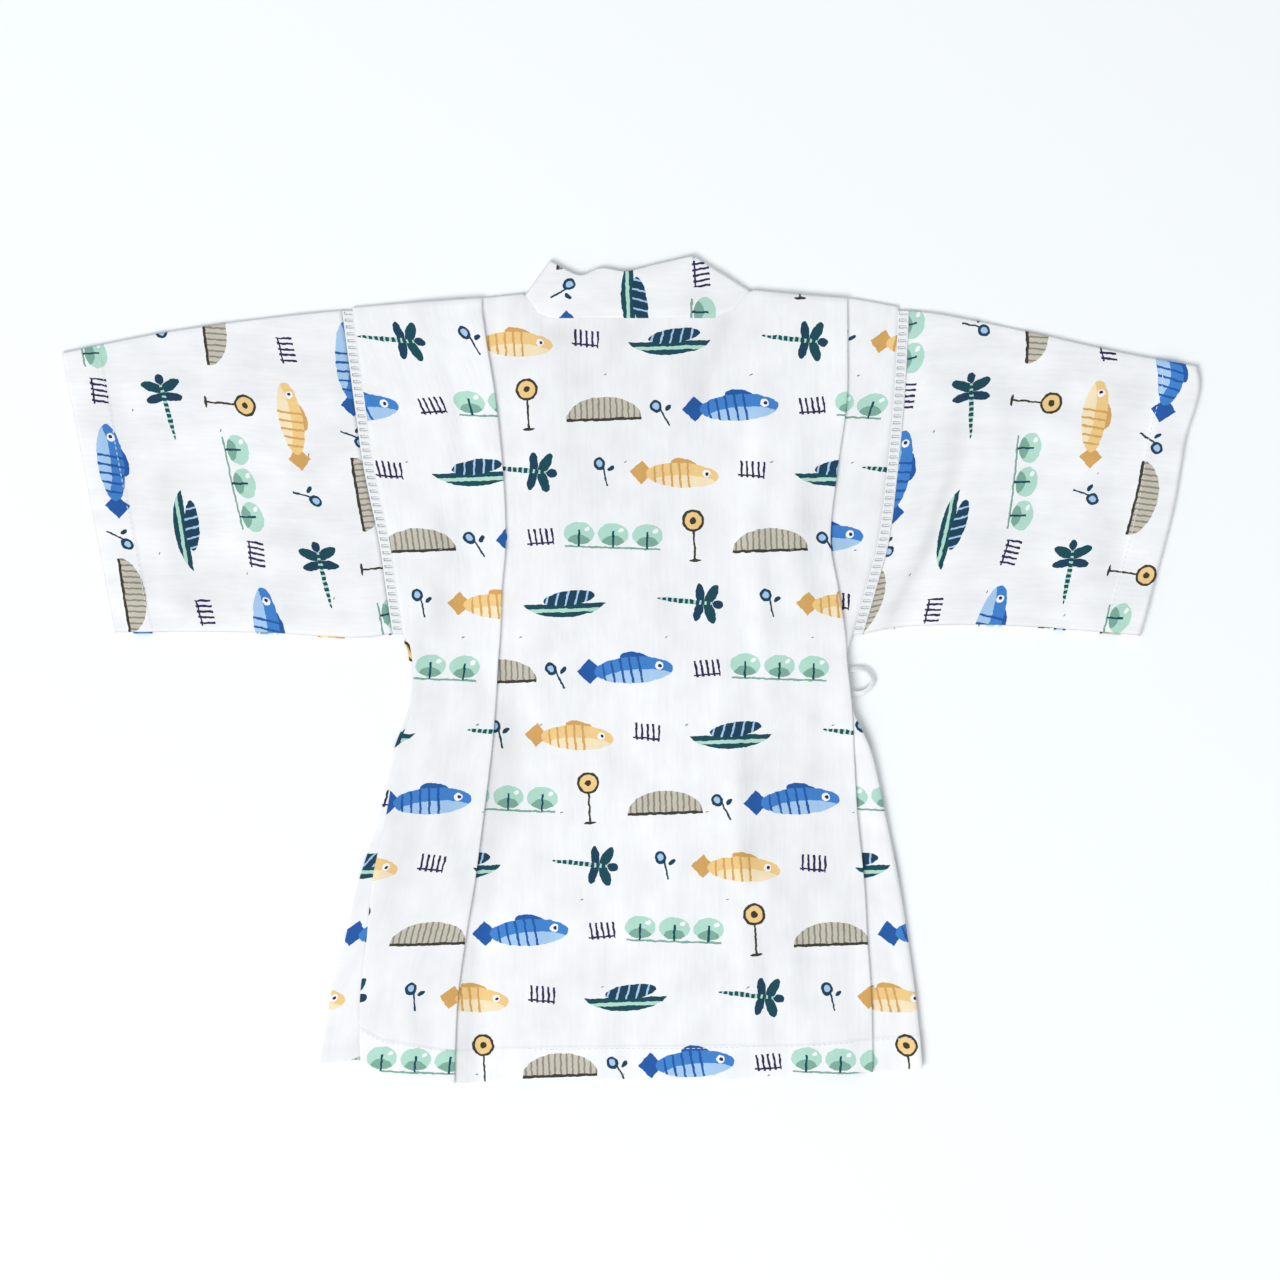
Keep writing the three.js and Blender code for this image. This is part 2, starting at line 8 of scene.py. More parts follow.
import bpy
import numpy as np
from mathutils import Vector, noise
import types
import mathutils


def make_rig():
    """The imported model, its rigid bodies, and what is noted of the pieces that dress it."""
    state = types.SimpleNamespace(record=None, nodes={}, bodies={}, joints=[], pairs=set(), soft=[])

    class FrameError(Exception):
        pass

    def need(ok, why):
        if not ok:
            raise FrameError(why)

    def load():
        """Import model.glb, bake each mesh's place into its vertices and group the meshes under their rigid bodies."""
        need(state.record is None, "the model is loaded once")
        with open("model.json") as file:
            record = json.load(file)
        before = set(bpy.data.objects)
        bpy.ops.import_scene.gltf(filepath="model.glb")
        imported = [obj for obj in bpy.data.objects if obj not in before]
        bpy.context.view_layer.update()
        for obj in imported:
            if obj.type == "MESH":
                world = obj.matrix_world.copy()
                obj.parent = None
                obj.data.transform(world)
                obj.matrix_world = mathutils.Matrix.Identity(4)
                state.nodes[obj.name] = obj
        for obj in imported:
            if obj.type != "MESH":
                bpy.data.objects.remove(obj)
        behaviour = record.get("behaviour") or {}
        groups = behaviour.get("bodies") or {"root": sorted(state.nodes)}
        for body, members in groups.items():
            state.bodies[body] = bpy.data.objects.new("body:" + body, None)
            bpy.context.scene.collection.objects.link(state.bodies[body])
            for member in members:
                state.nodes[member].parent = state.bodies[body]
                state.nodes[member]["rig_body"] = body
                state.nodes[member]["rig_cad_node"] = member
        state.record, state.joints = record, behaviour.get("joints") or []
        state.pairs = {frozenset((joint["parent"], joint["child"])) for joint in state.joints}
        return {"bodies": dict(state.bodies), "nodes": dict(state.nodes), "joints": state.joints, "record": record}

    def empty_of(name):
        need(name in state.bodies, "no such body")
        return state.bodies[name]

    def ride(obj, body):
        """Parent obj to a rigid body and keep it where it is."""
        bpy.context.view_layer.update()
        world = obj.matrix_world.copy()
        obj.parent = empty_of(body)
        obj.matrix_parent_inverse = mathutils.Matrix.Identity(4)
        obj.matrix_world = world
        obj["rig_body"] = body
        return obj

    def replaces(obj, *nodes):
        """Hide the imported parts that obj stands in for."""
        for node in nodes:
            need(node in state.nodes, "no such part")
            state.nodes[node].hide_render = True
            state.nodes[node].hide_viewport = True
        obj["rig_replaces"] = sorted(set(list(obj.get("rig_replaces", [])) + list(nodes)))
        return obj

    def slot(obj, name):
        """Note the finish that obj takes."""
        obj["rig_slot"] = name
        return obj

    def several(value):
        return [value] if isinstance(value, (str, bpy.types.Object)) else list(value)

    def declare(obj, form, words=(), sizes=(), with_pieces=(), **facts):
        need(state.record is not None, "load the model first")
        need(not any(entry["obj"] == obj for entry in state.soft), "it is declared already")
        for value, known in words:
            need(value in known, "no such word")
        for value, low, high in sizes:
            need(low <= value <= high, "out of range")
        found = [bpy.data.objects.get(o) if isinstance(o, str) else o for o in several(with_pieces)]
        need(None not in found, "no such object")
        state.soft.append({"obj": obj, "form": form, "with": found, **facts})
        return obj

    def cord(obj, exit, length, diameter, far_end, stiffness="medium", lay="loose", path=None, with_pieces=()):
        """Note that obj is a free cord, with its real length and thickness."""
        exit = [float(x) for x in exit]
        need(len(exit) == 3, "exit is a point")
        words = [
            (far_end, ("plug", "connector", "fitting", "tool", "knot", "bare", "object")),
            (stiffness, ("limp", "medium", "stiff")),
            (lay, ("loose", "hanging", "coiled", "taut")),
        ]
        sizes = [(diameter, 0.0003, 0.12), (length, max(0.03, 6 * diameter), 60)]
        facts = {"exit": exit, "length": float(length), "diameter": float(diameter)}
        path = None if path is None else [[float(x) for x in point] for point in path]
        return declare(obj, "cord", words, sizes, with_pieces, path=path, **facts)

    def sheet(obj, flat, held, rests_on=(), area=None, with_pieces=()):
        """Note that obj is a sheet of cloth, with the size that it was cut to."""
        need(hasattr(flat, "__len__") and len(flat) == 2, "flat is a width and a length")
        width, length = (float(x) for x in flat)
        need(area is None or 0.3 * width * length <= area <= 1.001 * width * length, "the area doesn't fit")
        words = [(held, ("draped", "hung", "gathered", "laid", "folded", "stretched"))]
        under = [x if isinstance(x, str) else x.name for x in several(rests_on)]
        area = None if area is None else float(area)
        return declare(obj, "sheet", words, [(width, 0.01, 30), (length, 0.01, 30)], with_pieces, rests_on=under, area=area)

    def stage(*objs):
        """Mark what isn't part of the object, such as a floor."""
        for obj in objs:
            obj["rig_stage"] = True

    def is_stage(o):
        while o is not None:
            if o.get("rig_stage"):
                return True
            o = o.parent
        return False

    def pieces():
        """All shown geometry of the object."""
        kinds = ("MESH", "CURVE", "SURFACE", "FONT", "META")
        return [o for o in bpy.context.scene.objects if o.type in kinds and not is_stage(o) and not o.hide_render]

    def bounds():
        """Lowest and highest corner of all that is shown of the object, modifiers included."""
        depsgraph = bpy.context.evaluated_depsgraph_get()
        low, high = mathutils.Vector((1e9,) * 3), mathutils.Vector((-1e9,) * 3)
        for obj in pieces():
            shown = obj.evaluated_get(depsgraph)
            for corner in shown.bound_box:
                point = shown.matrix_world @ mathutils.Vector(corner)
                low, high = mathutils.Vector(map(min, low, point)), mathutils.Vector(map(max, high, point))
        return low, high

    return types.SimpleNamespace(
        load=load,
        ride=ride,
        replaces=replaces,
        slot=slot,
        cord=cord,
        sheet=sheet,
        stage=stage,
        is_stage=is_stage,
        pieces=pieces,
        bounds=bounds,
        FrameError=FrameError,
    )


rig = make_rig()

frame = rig.load()
cad_low, cad_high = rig.bounds()

MM = 0.001

# Layers of the solid model, and the thinner cloth that is shown on them
CLOTH = 1.0
GAP = 0.3
STEP = CLOTH + GAP
HALF = CLOTH / 2
TURN = STEP / 2
SHELL = 0.7
COLLAR_SHELL = 0.6
TAPE_SHELL = 0.4
FOLD_STEP = 1.0
# Height at which a folded piece's upper layer begins
UPPER_FROM, UPPER_RUN = 1.2, 0.5

# Driving dimensions, as in part.mjs
HEM_Y = -224
VENT_TOP_Y = 8
FRONT_EDGE_LEFT = 70
FRONT_EDGE_RIGHT = -50
COLLAR_END_Y = -76
SEAM_END_Y = -80
SEAM_GAP_FROM, SEAM_GAP_RUN = 190, 12
UNDERLAP_FROM, UNDERLAP_TO = 71.5, 86
UNDERLAP_RISE = 1.9
COLLAR_THICK = 1.6
COLLAR_WIDE = 27
COLLAR_BACK_Z = 2.8
COLLAR_FRONT_Z = COLLAR_THICK / 2
COLLAR_FRONT_TOP = 192
COLLAR_SEAM_X = (-52, 60)
# Way from a front's seam to the collar's free edge, reached this far below the neck
COLLAR_SQUARE = np.array([0.913, 0.408])
COLLAR_LEAN_RUN = 30
NECK_SLOPE_FROM, NECK_SLOPE_TO = 195, 140
LADDER_WIDE = 6
TIE_WIDE = 3.5
TIE_THICK = 1.0
TIE_LIFT_BOTTOM, TIE_LIFT_FULL, TIE_LIFT_TOP = -50, (-24, 8), 36
TIE_LIFT_X, TIE_LIFT_RUN = 68, 14

# Edges of the back panel at each height, as in part.mjs
BODY_COLUMNS = ("y", "left", "wrap", "fold_left", "depth_left", "fold_right", "depth_right", "right")
BODY = np.array([
    (-217, -170.5, 21, -95.7, 3, 133.7, 3, 160.1),
    (-181, -165, 15, -94, 5, 133.1, 5, 156.5),
    (-148, -156.8, 10.5, -89.7, 9, 130.9, 8, 152.1),
    (-115, -149, 6, -84.4, 14, 129, 12, 146.9),
    (-80, -137.8, 2.2, -79.8, 18, 125.4, 15, 139.7),
    (-44, -130, 0.9, -75.4, 21, 123.4, 18, 131.5),
    (-19, -121.6, 0.7, -73.2, 23, 122.1, 20, 120.5),
    (5, -121.6, 0.6, -71.8, 24, 119.6, 21, 117.6),
    (19, -123.8, 0.6, -70.7, 24, 118.8, 22, 121.5),
    (44, -127.6, 0.6, -69.8, 24, 115, 22, 128.7),
    (71, -131.5, 0.6, -67.7, 23, 110.6, 22, 135.9),
    (110, -139.7, 0.6, -69.3, 20, 114.4, 18, 140.8),
    (148, -145.2, 0.6, -73.2, 15, 119.5, 12, 144.4),
    (181, -149.6, 0.6, -78.4, 9, 119.9, 8, 146.3),
    (198, -151.8, 0.6, -80.8, 6, 119.9, 6, 146.9),
])
SHOULDER = [(-155, 198), (-115, 201.3), (-80, 203.5), (-58, 205.7),
            (67, 207.9), (94, 205.2), (123, 203), (151, 198)]
NECK = [(-58, 205.7), (-51, 194.5), (-42, 192.5), (46, 192.5), (58, 196.5), (67, 207.9)]
HEM = [(-171, -216), (-149, -214), (-136, -221), (-95, -227.2),
       (-69, -225), (60, -223.9), (98, -223.3), (161, -218.4)]
COLLAR_TOP = np.array([(-44.6, 224.4), (-36, 219.6), (-27, 216.2), (-16, 220),
                       (-2, 218.4), (14, 222.2), (36.3, 227.2)])
NECK_LEFT, NECK_RIGHT = (-58, 205.7), (67, 207.9)
# How far the back's neck edge is tucked into the collar seam, along x
NECK_TUCK = [(-58, 0.3), (-55, 1.8), (-50, 1.6), (-46, 0.6), (48, 0.6), (52, 1.6), (64, 1.8), (67, 0.3)]
# How high the right side curls up from the floor, along y
SIDE_CURL = [(-224, 1.0), (-205, 1.8), (-150, 0.9), (-90, 1.4), (-50, 2.6), (-20, 2.0), (12, 0)]
SIDE_CURL_WIDE = 18
# How the back's cut edges turn down, measured from each edge
LEFT_LIP, RIGHT_LIP = np.array([(-0.45, -0.35)]), np.array([(0.25, -0.3), (0.3, -0.7)])
# How the edge of the turned side strip dips, and the height over which the turn fades at the vent
STRIP_LIP, STRIP_LIP_DROP = np.array([0.35, 0.8]), 0.6
VENT_FADE = 6

ARMHOLE_TOP, ARMHOLE_BOTTOM = 198, 19
# Cuffs, folded tops and closed undersides of the sleeves, from the armhole out
SLEEVES = {
    "left": {
        "cuff": [(-312.4, 174.4), (-297.5, 98), (-282.7, 19.8)],
        "fold": [(-201, 193.5), (-261.3, 184.8), (-312.4, 174.4)],
        "closed": [(-148, 17), (-206.8, 19.8), (-282.7, 19.8)],
    },
    "right": {
        "cuff": [(311.3, 167.2), (313.2, 155.7), (305.2, 126.5), (298.7, 89.1), (280, 18.2)],
        "fold": [(170.5, 195.8), (220, 185.9), (266.2, 175.5), (311.3, 167.2)],
        "closed": [(146.3, 22.6), (202.4, 23.7), (280, 18.2)],
    },
}
# Middle lines of the two ties, as they lie under the right side
TIE_FRONT_LINE = [(72.4, -10), (92, -9.5), (108, -12), (121, -13.2), (129, -12), (133.6, -6.2),
                  (130, -0.2), (122.5, 0.6), (112, -2.6), (105, -5)]
TIE_SIDE_LINE = [(115, -24), (108, -21.5), (101, -15.5)]

# Hems, seams and stitches; a stitch's rings are share of its length, radius and height
HEM_DEEP = 18
HEM_EDGE = 0.8
HEM_PROUD = 0.35
HEM_WAVE, HEM_WAVE_RUN = 1.1, 30
CUFF_HEM_DEEP = 22
SHOULDER_REACH, NECK_REACH = 0.9, 0.05
BACK_SEAM_Z, FRONT_SEAM_Z = 1.25, 0.9
STITCH_LONG = 2.0
STITCH_PITCH = 3.0
STITCH_RINGS = ((0, 0.05, -0.06), (0.2, 0.2, 0.08), (0.8, 0.2, 0.08), (1, 0.05, -0.06))
# How far the cloth is lifted to leave room for its troughs, and where it lies calm
BACK_LIFT, RELIEF_LIFT, NECK_CALM = 0.45, 0.6, 14
SLEEVE_LIFT, SLEEVE_SINK, SLEEVE_CALM = 0.7, 0.4, 0.08
SLEEVE_PUFF, MOUTH_WAVE = 0.5, 1.3
SLEEVE_DEEP, SLEEVE_CUT_DEEP = 158, 160
# Half the room between the collar's two layers, its dip at the seam and its place on the print
COLLAR_APART, COLLAR_DIP, COLLAR_CUT_FROM = 0.42, 0.35, 20
# Slots of the ladder tapes: faces to a slot and its rung, and how many of them are open
SLOT_PITCH = 3.75
SLOT_RUN = 177
SLOT_FROM = 0.17
SLOT_FACES, OPEN_FACES = 5, 2
# The tie's loop stands up between two shares of its length, tilted by some degrees
LOOP_FROM, LOOP_RUN = 0.42, 0.48
LOOP_TILT = 42

# Points of the surfaces: the back's columns between its folds as from, to and how many, the one
# in its middle that its flat cut is measured from, and the rows near a hem by height over it
BACK_COLUMNS = [(-57, -51, 4), (-48, -42, 3), (-39.5, 46, 35), (49, 58, 4), (61, 67.8, 4), (70, 92, 9)]
CENTRE_COLUMN = 76
HEM_STITCH_COLUMNS = ((0, 29), (52, 118), (134, 148))
HEM_ROWS = np.array([19.5, 18.6, 18.1, 17.7, 17.0, 12, 8, 4, 1, 0])
HEM_ROWS_FROM = 21
PANEL_HIGH = 425
TABLE_HEIGHTS = (-230.0, 212.0)
TURN_POINTS = 6
FOLD_POINTS = 7
CURVE_POINTS = 200
SLEEVE_STEPS = 70

# Camera straight above the photo's middle, and what it takes in
VIEW_X, VIEW_Y = 5.5, 16.5
VIEW_WIDE = 704
VIEW_HIGH = 2000
SENSOR = 36
# Half the floor's side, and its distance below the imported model
FLOOR_HALF = 4000
FLOOR_GAP = 0.2


# Sections and surfaces

def lerp(a, b, t):
    return a + (b - a) * t


def smooth(t):
    s = np.clip(t, 0, 1)
    return s * s * (3 - 2 * s)


def table_value(xs, ys, at):
    """Smooth value through a table's points, as in part.mjs."""
    if at <= xs[0]:
        return ys[0]
    if at >= xs[-1]:
        return ys[-1]
    i = int(np.searchsorted(xs, at, side="right")) - 1

    def tangent(k):
        a, b = max(0, k - 1), min(len(xs) - 1, k + 1)
        return (ys[b] - ys[a]) / (xs[b] - xs[a])

    h = xs[i + 1] - xs[i]
    t = (at - xs[i]) / h
    t2, t3 = t * t, t * t * t
    return (ys[i] * (2 * t3 - 3 * t2 + 1) + tangent(i) * h * (t3 - 2 * t2 + t)
            + ys[i + 1] * (3 * t2 - 2 * t3) + tangent(i + 1) * h * (t3 - t2))


def body(key, y):
    return table_value(BODY[:, 0], BODY[:, BODY_COLUMNS.index(key)], y)


def body_edge(key, y):
    """The same for many heights at once, with straight lines between the points."""
    return np.interp(y, BODY[:, 0], BODY[:, BODY_COLUMNS.index(key)])


def corner_value(table, x):
    return np.interp(x, [p[0] for p in table], [p[1] for p in table])


def back_top(x):
    return np.where((x > NECK_LEFT[0]) & (x < NECK_RIGHT[0]),
                    corner_value(NECK, x) + corner_value(NECK_TUCK, x), corner_value(SHOULDER, x))


def neck_slope(y):
    return smooth((y - NECK_SLOPE_FROM) / (NECK_SLOPE_TO - NECK_SLOPE_FROM))


def tie_lift(x, y):
    low, high = TIE_LIFT_FULL
    along = np.where(y < low, smooth((y - TIE_LIFT_BOTTOM) / (low - TIE_LIFT_BOTTOM)),
                     1 - smooth((y - high) / (TIE_LIFT_TOP - high)))
    return STEP * along * smooth((x - TIE_LIFT_X) / TIE_LIFT_RUN)


def edge_lift(x, y):
    """How far the right side curls up from the floor."""
    inward = body_edge("right", y) - x
    return corner_value(SIDE_CURL, y) * smooth(1 - inward / SIDE_CURL_WIDE) ** 1.5


def back_lift(x, y):
    return tie_lift(x, y) + edge_lift(x, y)


def inner_lift(x, y):
    beyond = smooth((x - UNDERLAP_FROM) / (UNDERLAP_TO - UNDERLAP_FROM))
    over = UNDERLAP_RISE * neck_slope(y) * (1 - beyond)
    return np.maximum(over, tie_lift(x, y)) + edge_lift(x, y)


def seam_left_x(y):
    return lerp(NECK_LEFT[0], FRONT_EDGE_LEFT, (NECK_LEFT[1] - y) / (NECK_LEFT[1] - SEAM_END_Y))


def seam_right_x(y):
    return lerp(NECK_RIGHT[0], FRONT_EDGE_RIGHT, (NECK_RIGHT[1] - y) / (NECK_RIGHT[1] - SEAM_END_Y))


def seam_gap(y):
    return GAP + np.clip((y - SEAM_GAP_FROM) / SEAM_GAP_RUN, 0, 1)


def half_turn(x, z, facing):
    """Round of a knife fold."""
    angle = np.linspace(0, math.pi, FOLD_POINTS)
    radius = FOLD_STEP / 2
    return np.stack([x + radius * facing * np.sin(angle), z + radius * np.cos(angle)], axis=1)


def flat_part(xs, zs):
    return np.stack([xs, np.broadcast_to(zs, np.shape(xs))], axis=1)


def back_section(y):
    """Middle line of the back panel at a height, its two knife folds with it."""
    left, right = body("left", y), body("right", y)
    inset = 2 * TURN + 2 * GAP + body("wrap", y) if y < ARMHOLE_BOTTOM - 2 else 0
    fold_left, fold_right = body("fold_left", y), body("fold_right", y)
    deep_left = fold_left - body("depth_left", y)
    deep_right = fold_right - body("depth_right", y)
    low = STEP + HALF
    middle, high = low + FOLD_STEP, low + 2 * FOLD_STEP
    radius = FOLD_STEP / 2
    centre = lerp(COLLAR_BACK_Z - 0.2, high, neck_slope(y))
    edge, crest = left + inset, fold_left - 2 * TURN
    t = np.linspace(0, 1, 30)[:-1]
    parts = [LEFT_LIP + (edge, low),
             flat_part(lerp(edge, crest, t), lerp(low, high, smooth(t * 1.15))),
             half_turn(crest, high - radius, 1), half_turn(deep_left, middle - radius, -1)]
    rise_from, rise_to = fold_left + 1, NECK[1][0]
    last_from, last_to = 60, BACK_COLUMNS[-1][1]
    xs = np.concatenate([
        np.linspace(rise_from, NECK_LEFT[0] - 0.8, 8), *(np.linspace(*part) for part in BACK_COLUMNS),
        lerp(last_to, fold_right - 2 * TURN, np.linspace(0.12, 0.92, 8))])
    risen = lerp(low, centre, smooth((xs - rise_from) / (rise_to - rise_from)))
    parts += [flat_part(xs, lerp(risen, high, smooth((xs - last_from) / (last_to - last_from)))),
              half_turn(fold_right - 2 * TURN, high - radius, 1),
              half_turn(deep_right, middle - radius, -1),
              flat_part(lerp(deep_right, right, np.linspace(0.08, 1, 16)), low),
              RIGHT_LIP + (right, low)]
    return np.concatenate(parts)


def outer_section(y):
    """Middle line of the outer front at a height, with the part turned over at the left."""
    left, wrap = body("left", y), body("wrap", y)
    edge = seam_left_x(y) - seam_gap(y) if y > SEAM_END_Y else FRONT_EDGE_LEFT
    turned = math.pi * max(0.01, 1 - smooth((y - VENT_TOP_Y) / VENT_FADE))
    bend = turned / (math.pi * TURN)
    angle = turned * np.linspace(0, 1, FOLD_POINTS)
    out, up = np.sin(angle) / bend, (1 - np.cos(angle)) / bend
    reach = np.max(out + HALF * np.sin(angle))
    beyond = wrap * np.linspace(0.1, 1, 10)
    out = np.append(out, out[-1] + beyond * math.cos(turned))
    up = np.append(up, up[-1] + beyond * math.sin(turned))
    lip = STRIP_LIP * turned / math.pi
    up = np.append(up, up[-1] - STRIP_LIP_DROP * lip)
    out = np.append(out, out[-1] - lip)
    start = left + reach
    flat = flat_part(lerp(edge, start, np.linspace(0, 1, 60)[:-1]), HALF)
    return np.concatenate([flat, np.stack([start - out, HALF + up], axis=1)])


def inner_section(y):
    """Middle line of the inner front at a height."""
    edge = seam_right_x(y) + seam_gap(y) if y > SEAM_END_Y else FRONT_EDGE_RIGHT
    return flat_part(lerp(edge, body("right", y), np.linspace(0, 1, 50)), HALF)


def body_surface(section, top_y, lift, rows, anchor=0):
    """Points of a body panel, its place on the flat cloth and its height over the hem."""
    heights = np.arange(*TABLE_HEIGHTS, 1.0)
    table = np.stack([section(y) for y in heights])
    steps = np.hypot(*np.diff(table, axis=1).transpose(2, 0, 1))
    cut = np.concatenate([np.zeros((len(heights), 1)), np.cumsum(steps, axis=1)], axis=1)
    way = np.sign(table[:, anchor + 1, 0] - table[:, anchor, 0])
    cut += (way * table[:, anchor, 0] - cut[:, anchor])[:, None]
    first, last = section(ARMHOLE_TOP)[:, 0], section(HEM_Y)[:, 0]
    top, low = top_y(first), corner_value(HEM, last)
    down = np.concatenate([np.linspace(0, 1 - HEM_ROWS_FROM / PANEL_HIGH, rows),
                           1 - HEM_ROWS / PANEL_HIGH])
    y = top[None] + (low - top)[None] * down[:, None]
    place = np.clip(y - heights[0], 0, len(heights) - 1.001)
    i, w = place.astype(int), place % 1
    j = np.arange(table.shape[1])[None]
    x = table[i, j, 0] * (1 - w) + table[i + 1, j, 0] * w
    z = table[i, j, 1] * (1 - w) + table[i + 1, j, 1] * w
    c = cut[i, j] * (1 - w) + cut[i + 1, j] * w
    return np.stack([x, y, z + lift(x, y)], axis=2), np.stack([c, y], axis=2), y - low[None]


def sew_shoulder(points, cut, seam_z):
    """Three more rows that bring a panel's top edge to the shoulder seam."""
    x = points[0, :, 0]
    at_shoulder = ((x < NECK_LEFT[0]) | (x > NECK_RIGHT[0])) * 1.0
    rows, cuts = [], []
    for k, angle in enumerate(np.radians((90, 60, 30))):
        reach = (SHOULDER_REACH * math.sin(angle) * at_shoulder
                 + NECK_REACH * (3 - k) * (1 - at_shoulder))
        drop = (1 - math.cos(angle)) * (seam_z - points[0, :, 2]) * at_shoulder
        rows.append(points[0] + np.stack([0 * x, reach, drop], axis=1))
        cuts.append(cut[0] + np.stack([0 * x, reach - drop], axis=1))
    return np.concatenate([np.array(rows), points]), np.concatenate([np.array(cuts), cut])


def in_upper_layer(points):
    """1 on the upper layer of a folded piece and 0 on its lower one."""
    return smooth((points[:, :, 2] - UPPER_FROM) / UPPER_RUN)


def in_hem(above_hem):
    """1 on the double cloth of the hem and 0 above it."""
    return smooth((HEM_DEEP - above_hem) / HEM_EDGE + 0.5)


def soft_noise(x, y, long_x, long_y, seed):
    """Gentle unevenness of laid cloth, from -1 to 1."""
    flat = [noise.noise(Vector((a / long_x, b / long_y, seed))) for a, b in zip(x.flat, y.flat)]
    return np.array(flat).reshape(x.shape)


def creases(x, y, rows):
    """Soft ridges and troughs along listed lines, each a little bowed."""
    total = np.zeros_like(x)
    for x0, y0, x1, y1, wide, tall in rows:
        dx, dy = x1 - x0, y1 - y0
        length = math.hypot(dx, dy)
        along = ((x - x0) * dx + (y - y0) * dy) / length
        bow = math.copysign(CREASE_BOW * length, tall) * np.sin(math.pi * np.clip(along / length, 0, 1))
        across = ((x - x0) * dy - (y - y0) * dx) / length - bow
        end = np.clip(np.maximum(-along, along - length), 0, None)
        total += tall * np.exp(-(across / wide) ** 2 - (end / (wide * CREASE_FADE)) ** 2)
    return total


CREASE_BOW, CREASE_FADE = 0.032, 1.8
# Each crease: x and y of its two ends, half width and height. The heights of the
# back's and the sleeves' creases are then raised by a factor.
BACK_RAISED, SLEEVE_RAISED = 1.7, 1.5
BACK_CREASES = [
    (-118, 12, -92, 70, 9, 1.1), (-112, -20, -96, -120, 8, 0.8), (-128, 60, -100, 150, 10, 0.7),
    (-40, 175, -36, 60, 12, 0.7), (-20, 30, -26, -110, 14, -0.7), (12, 120, 20, -40, 12, 0.8),
    (40, 185, 46, 90, 10, -0.5), (60, 60, 50, -90, 14, 0.8), (88, 150, 92, 20, 11, 0.6),
    (30, -100, 26, -205, 13, 0.8), (-60, -90, -66, -200, 9, 0.7), (78, -70, 92, -190, 12, 0.9),
    (108, 30, 60, -10, 9, 0.8), (104, 46, 70, 92, 9, -0.6), (-8, -150, -4, -218, 8, -0.6),
    (-130, -140, -120, -205, 7, 0.7), (142, -130, 148, -205, 6, 0.8), (112, -140, 116, -212, 8, 0.6),
    (0, 186, -10, 150, 9, 0.5), (-44, -20, -10, -60, 10, 0.5), (96, -30, 64, -64, 9, 0.5),
    (-95, 150, -92, 66, 6, -0.6), (75, 142, 74, 12, 7, 1.0), (92, 100, 94, 50, 9, 1.5),
    (37, 196, 26, 148, 8, 1.3), (58, -45, 62, -112, 6, 1.3), (66, -150, 70, -198, 6, 0.8),
    (-109, 80, -111, 25, 6, 1.0),
]
SLEEVE_CREASES = {
    "left": [
        (-170, 150, -250, 128, 11, 0.9), (-165, 60, -240, 74, 12, 0.8),
        (-200, 185, -228, 60, 12, -0.5), (-262, 160, -250, 50, 10, 0.8),
        (-290, 120, -276, 40, 8, 0.8), (-180, 110, -200, 30, 10, 0.6),
        (-240, 30, -290, 46, 8, 0.5), (-285, 165, -250, 150, 9, 0.5),
    ],
    "right": [
        (165, 160, 240, 130, 11, 0.9), (160, 70, 235, 60, 12, 0.8),
        (210, 175, 226, 50, 12, -0.5), (262, 160, 252, 50, 10, 0.3),
        (296, 164, 275, 76, 4, 0.7), (200, 120, 196, 40, 10, 0.5),
        (230, 36, 285, 30, 8, 0.5), (240, 168, 280, 140, 9, 0.6),
        (182, 118, 147, 26, 5, -1.1),
    ],
}
# Painted light where cloth lies on cloth, and painted shade of creases and of single cloth, given like creases
BACK_PAINTED_LIGHT_SHADE = [
    (-45, -22, 30, -28, 16, 0.4), (-50, -90, 28, -88, 13, 0.4), (-60, -140, 20, -138, 16, 0.3),
    (-30, 175, -10, 110, 40, -0.35), (-112, -10, -118, -80, 24, -0.8), (50, 188, 38, 150, 6, -1.2),
    (-120, -120, -124, -190, 24, -0.6), (92, -40, 98, -150, 22, -0.5), (97, 86, 98, 62, 9, -0.9),
    (66, 137, 66, 12, 4, 0.8), (67, -62, 69, -106, 5, -1.1), (75, -112, 82, -120, 5, -0.7),
    (70, -150, 78, -196, 5, -0.8), (-104, 77, -104, 27, 6, -1.1), (114, 188, 112, 145, 11, 0.6),
]
SLEEVE_PAINTED_LIGHT_SHADE = {
    "left": [
        (-288, 150, -278, 100, 9, -0.8), (-228, 150, -224, 80, 12, 0.4),
        (-252, 90, -246, 70, 9, -0.7), (-175, 130, -180, 70, 14, -0.4),
        (-262, 40, -200, 44, 14, -0.6), (-200, 175, -250, 160, 12, -0.4),
    ],
    "right": [
        (184, 150, 178, 125, 8, -0.8), (177, 108, 144, 32, 4, -1.2), (165, 45, 159, 30, 6, 0.5),
        (297, 165, 276, 77, 2.5, 0.8), (225, 110, 235, 60, 14, 0.4), (262, 60, 270, 40, 8, -0.6),
    ],
}
# Beside the left fold at each height: width of the doubled cloth, painted lighter, and width and depth of the painted
# shadow on the single cloth
FOLD_PAINTED_LIGHT_SHADE = np.array([
    (-224, 0, 14, -1.5), (-180, 0, 11, -1.2), (-165, 0, 8, -0.5), (-150, 0, 9, -1.3),
    (-135, 0, 12, -0.6), (-110, 0, 16, -0.6), (-95, 0, 19, -1.4), (-60, 0, 20, -1.7),
    (-27, 6, 18, -1.7), (-14, 9, 14, -0.7), (10, 14, 8, 0), (60, 20, 8, 0), (190, 25, 8, 0),
])
# Painted light on doubled cloth: where it fades in beside the left fold, and how strong it is beside each fold, on the
# hem and on the cuffs
DOUBLED_FROM, DOUBLED_RUN = -27, 30
LEFT_FOLD_PAINTED_LIGHT, RIGHT_FOLD_PAINTED_LIGHT, HEM_PAINTED_LIGHT, CUFF_PAINTED_LIGHT = 0.65, 0.15, 0.45, 0.3


# Meshes

def add_object(name, data):
    made = bpy.data.objects.new(name, data)
    bpy.context.collection.objects.link(made)
    return made


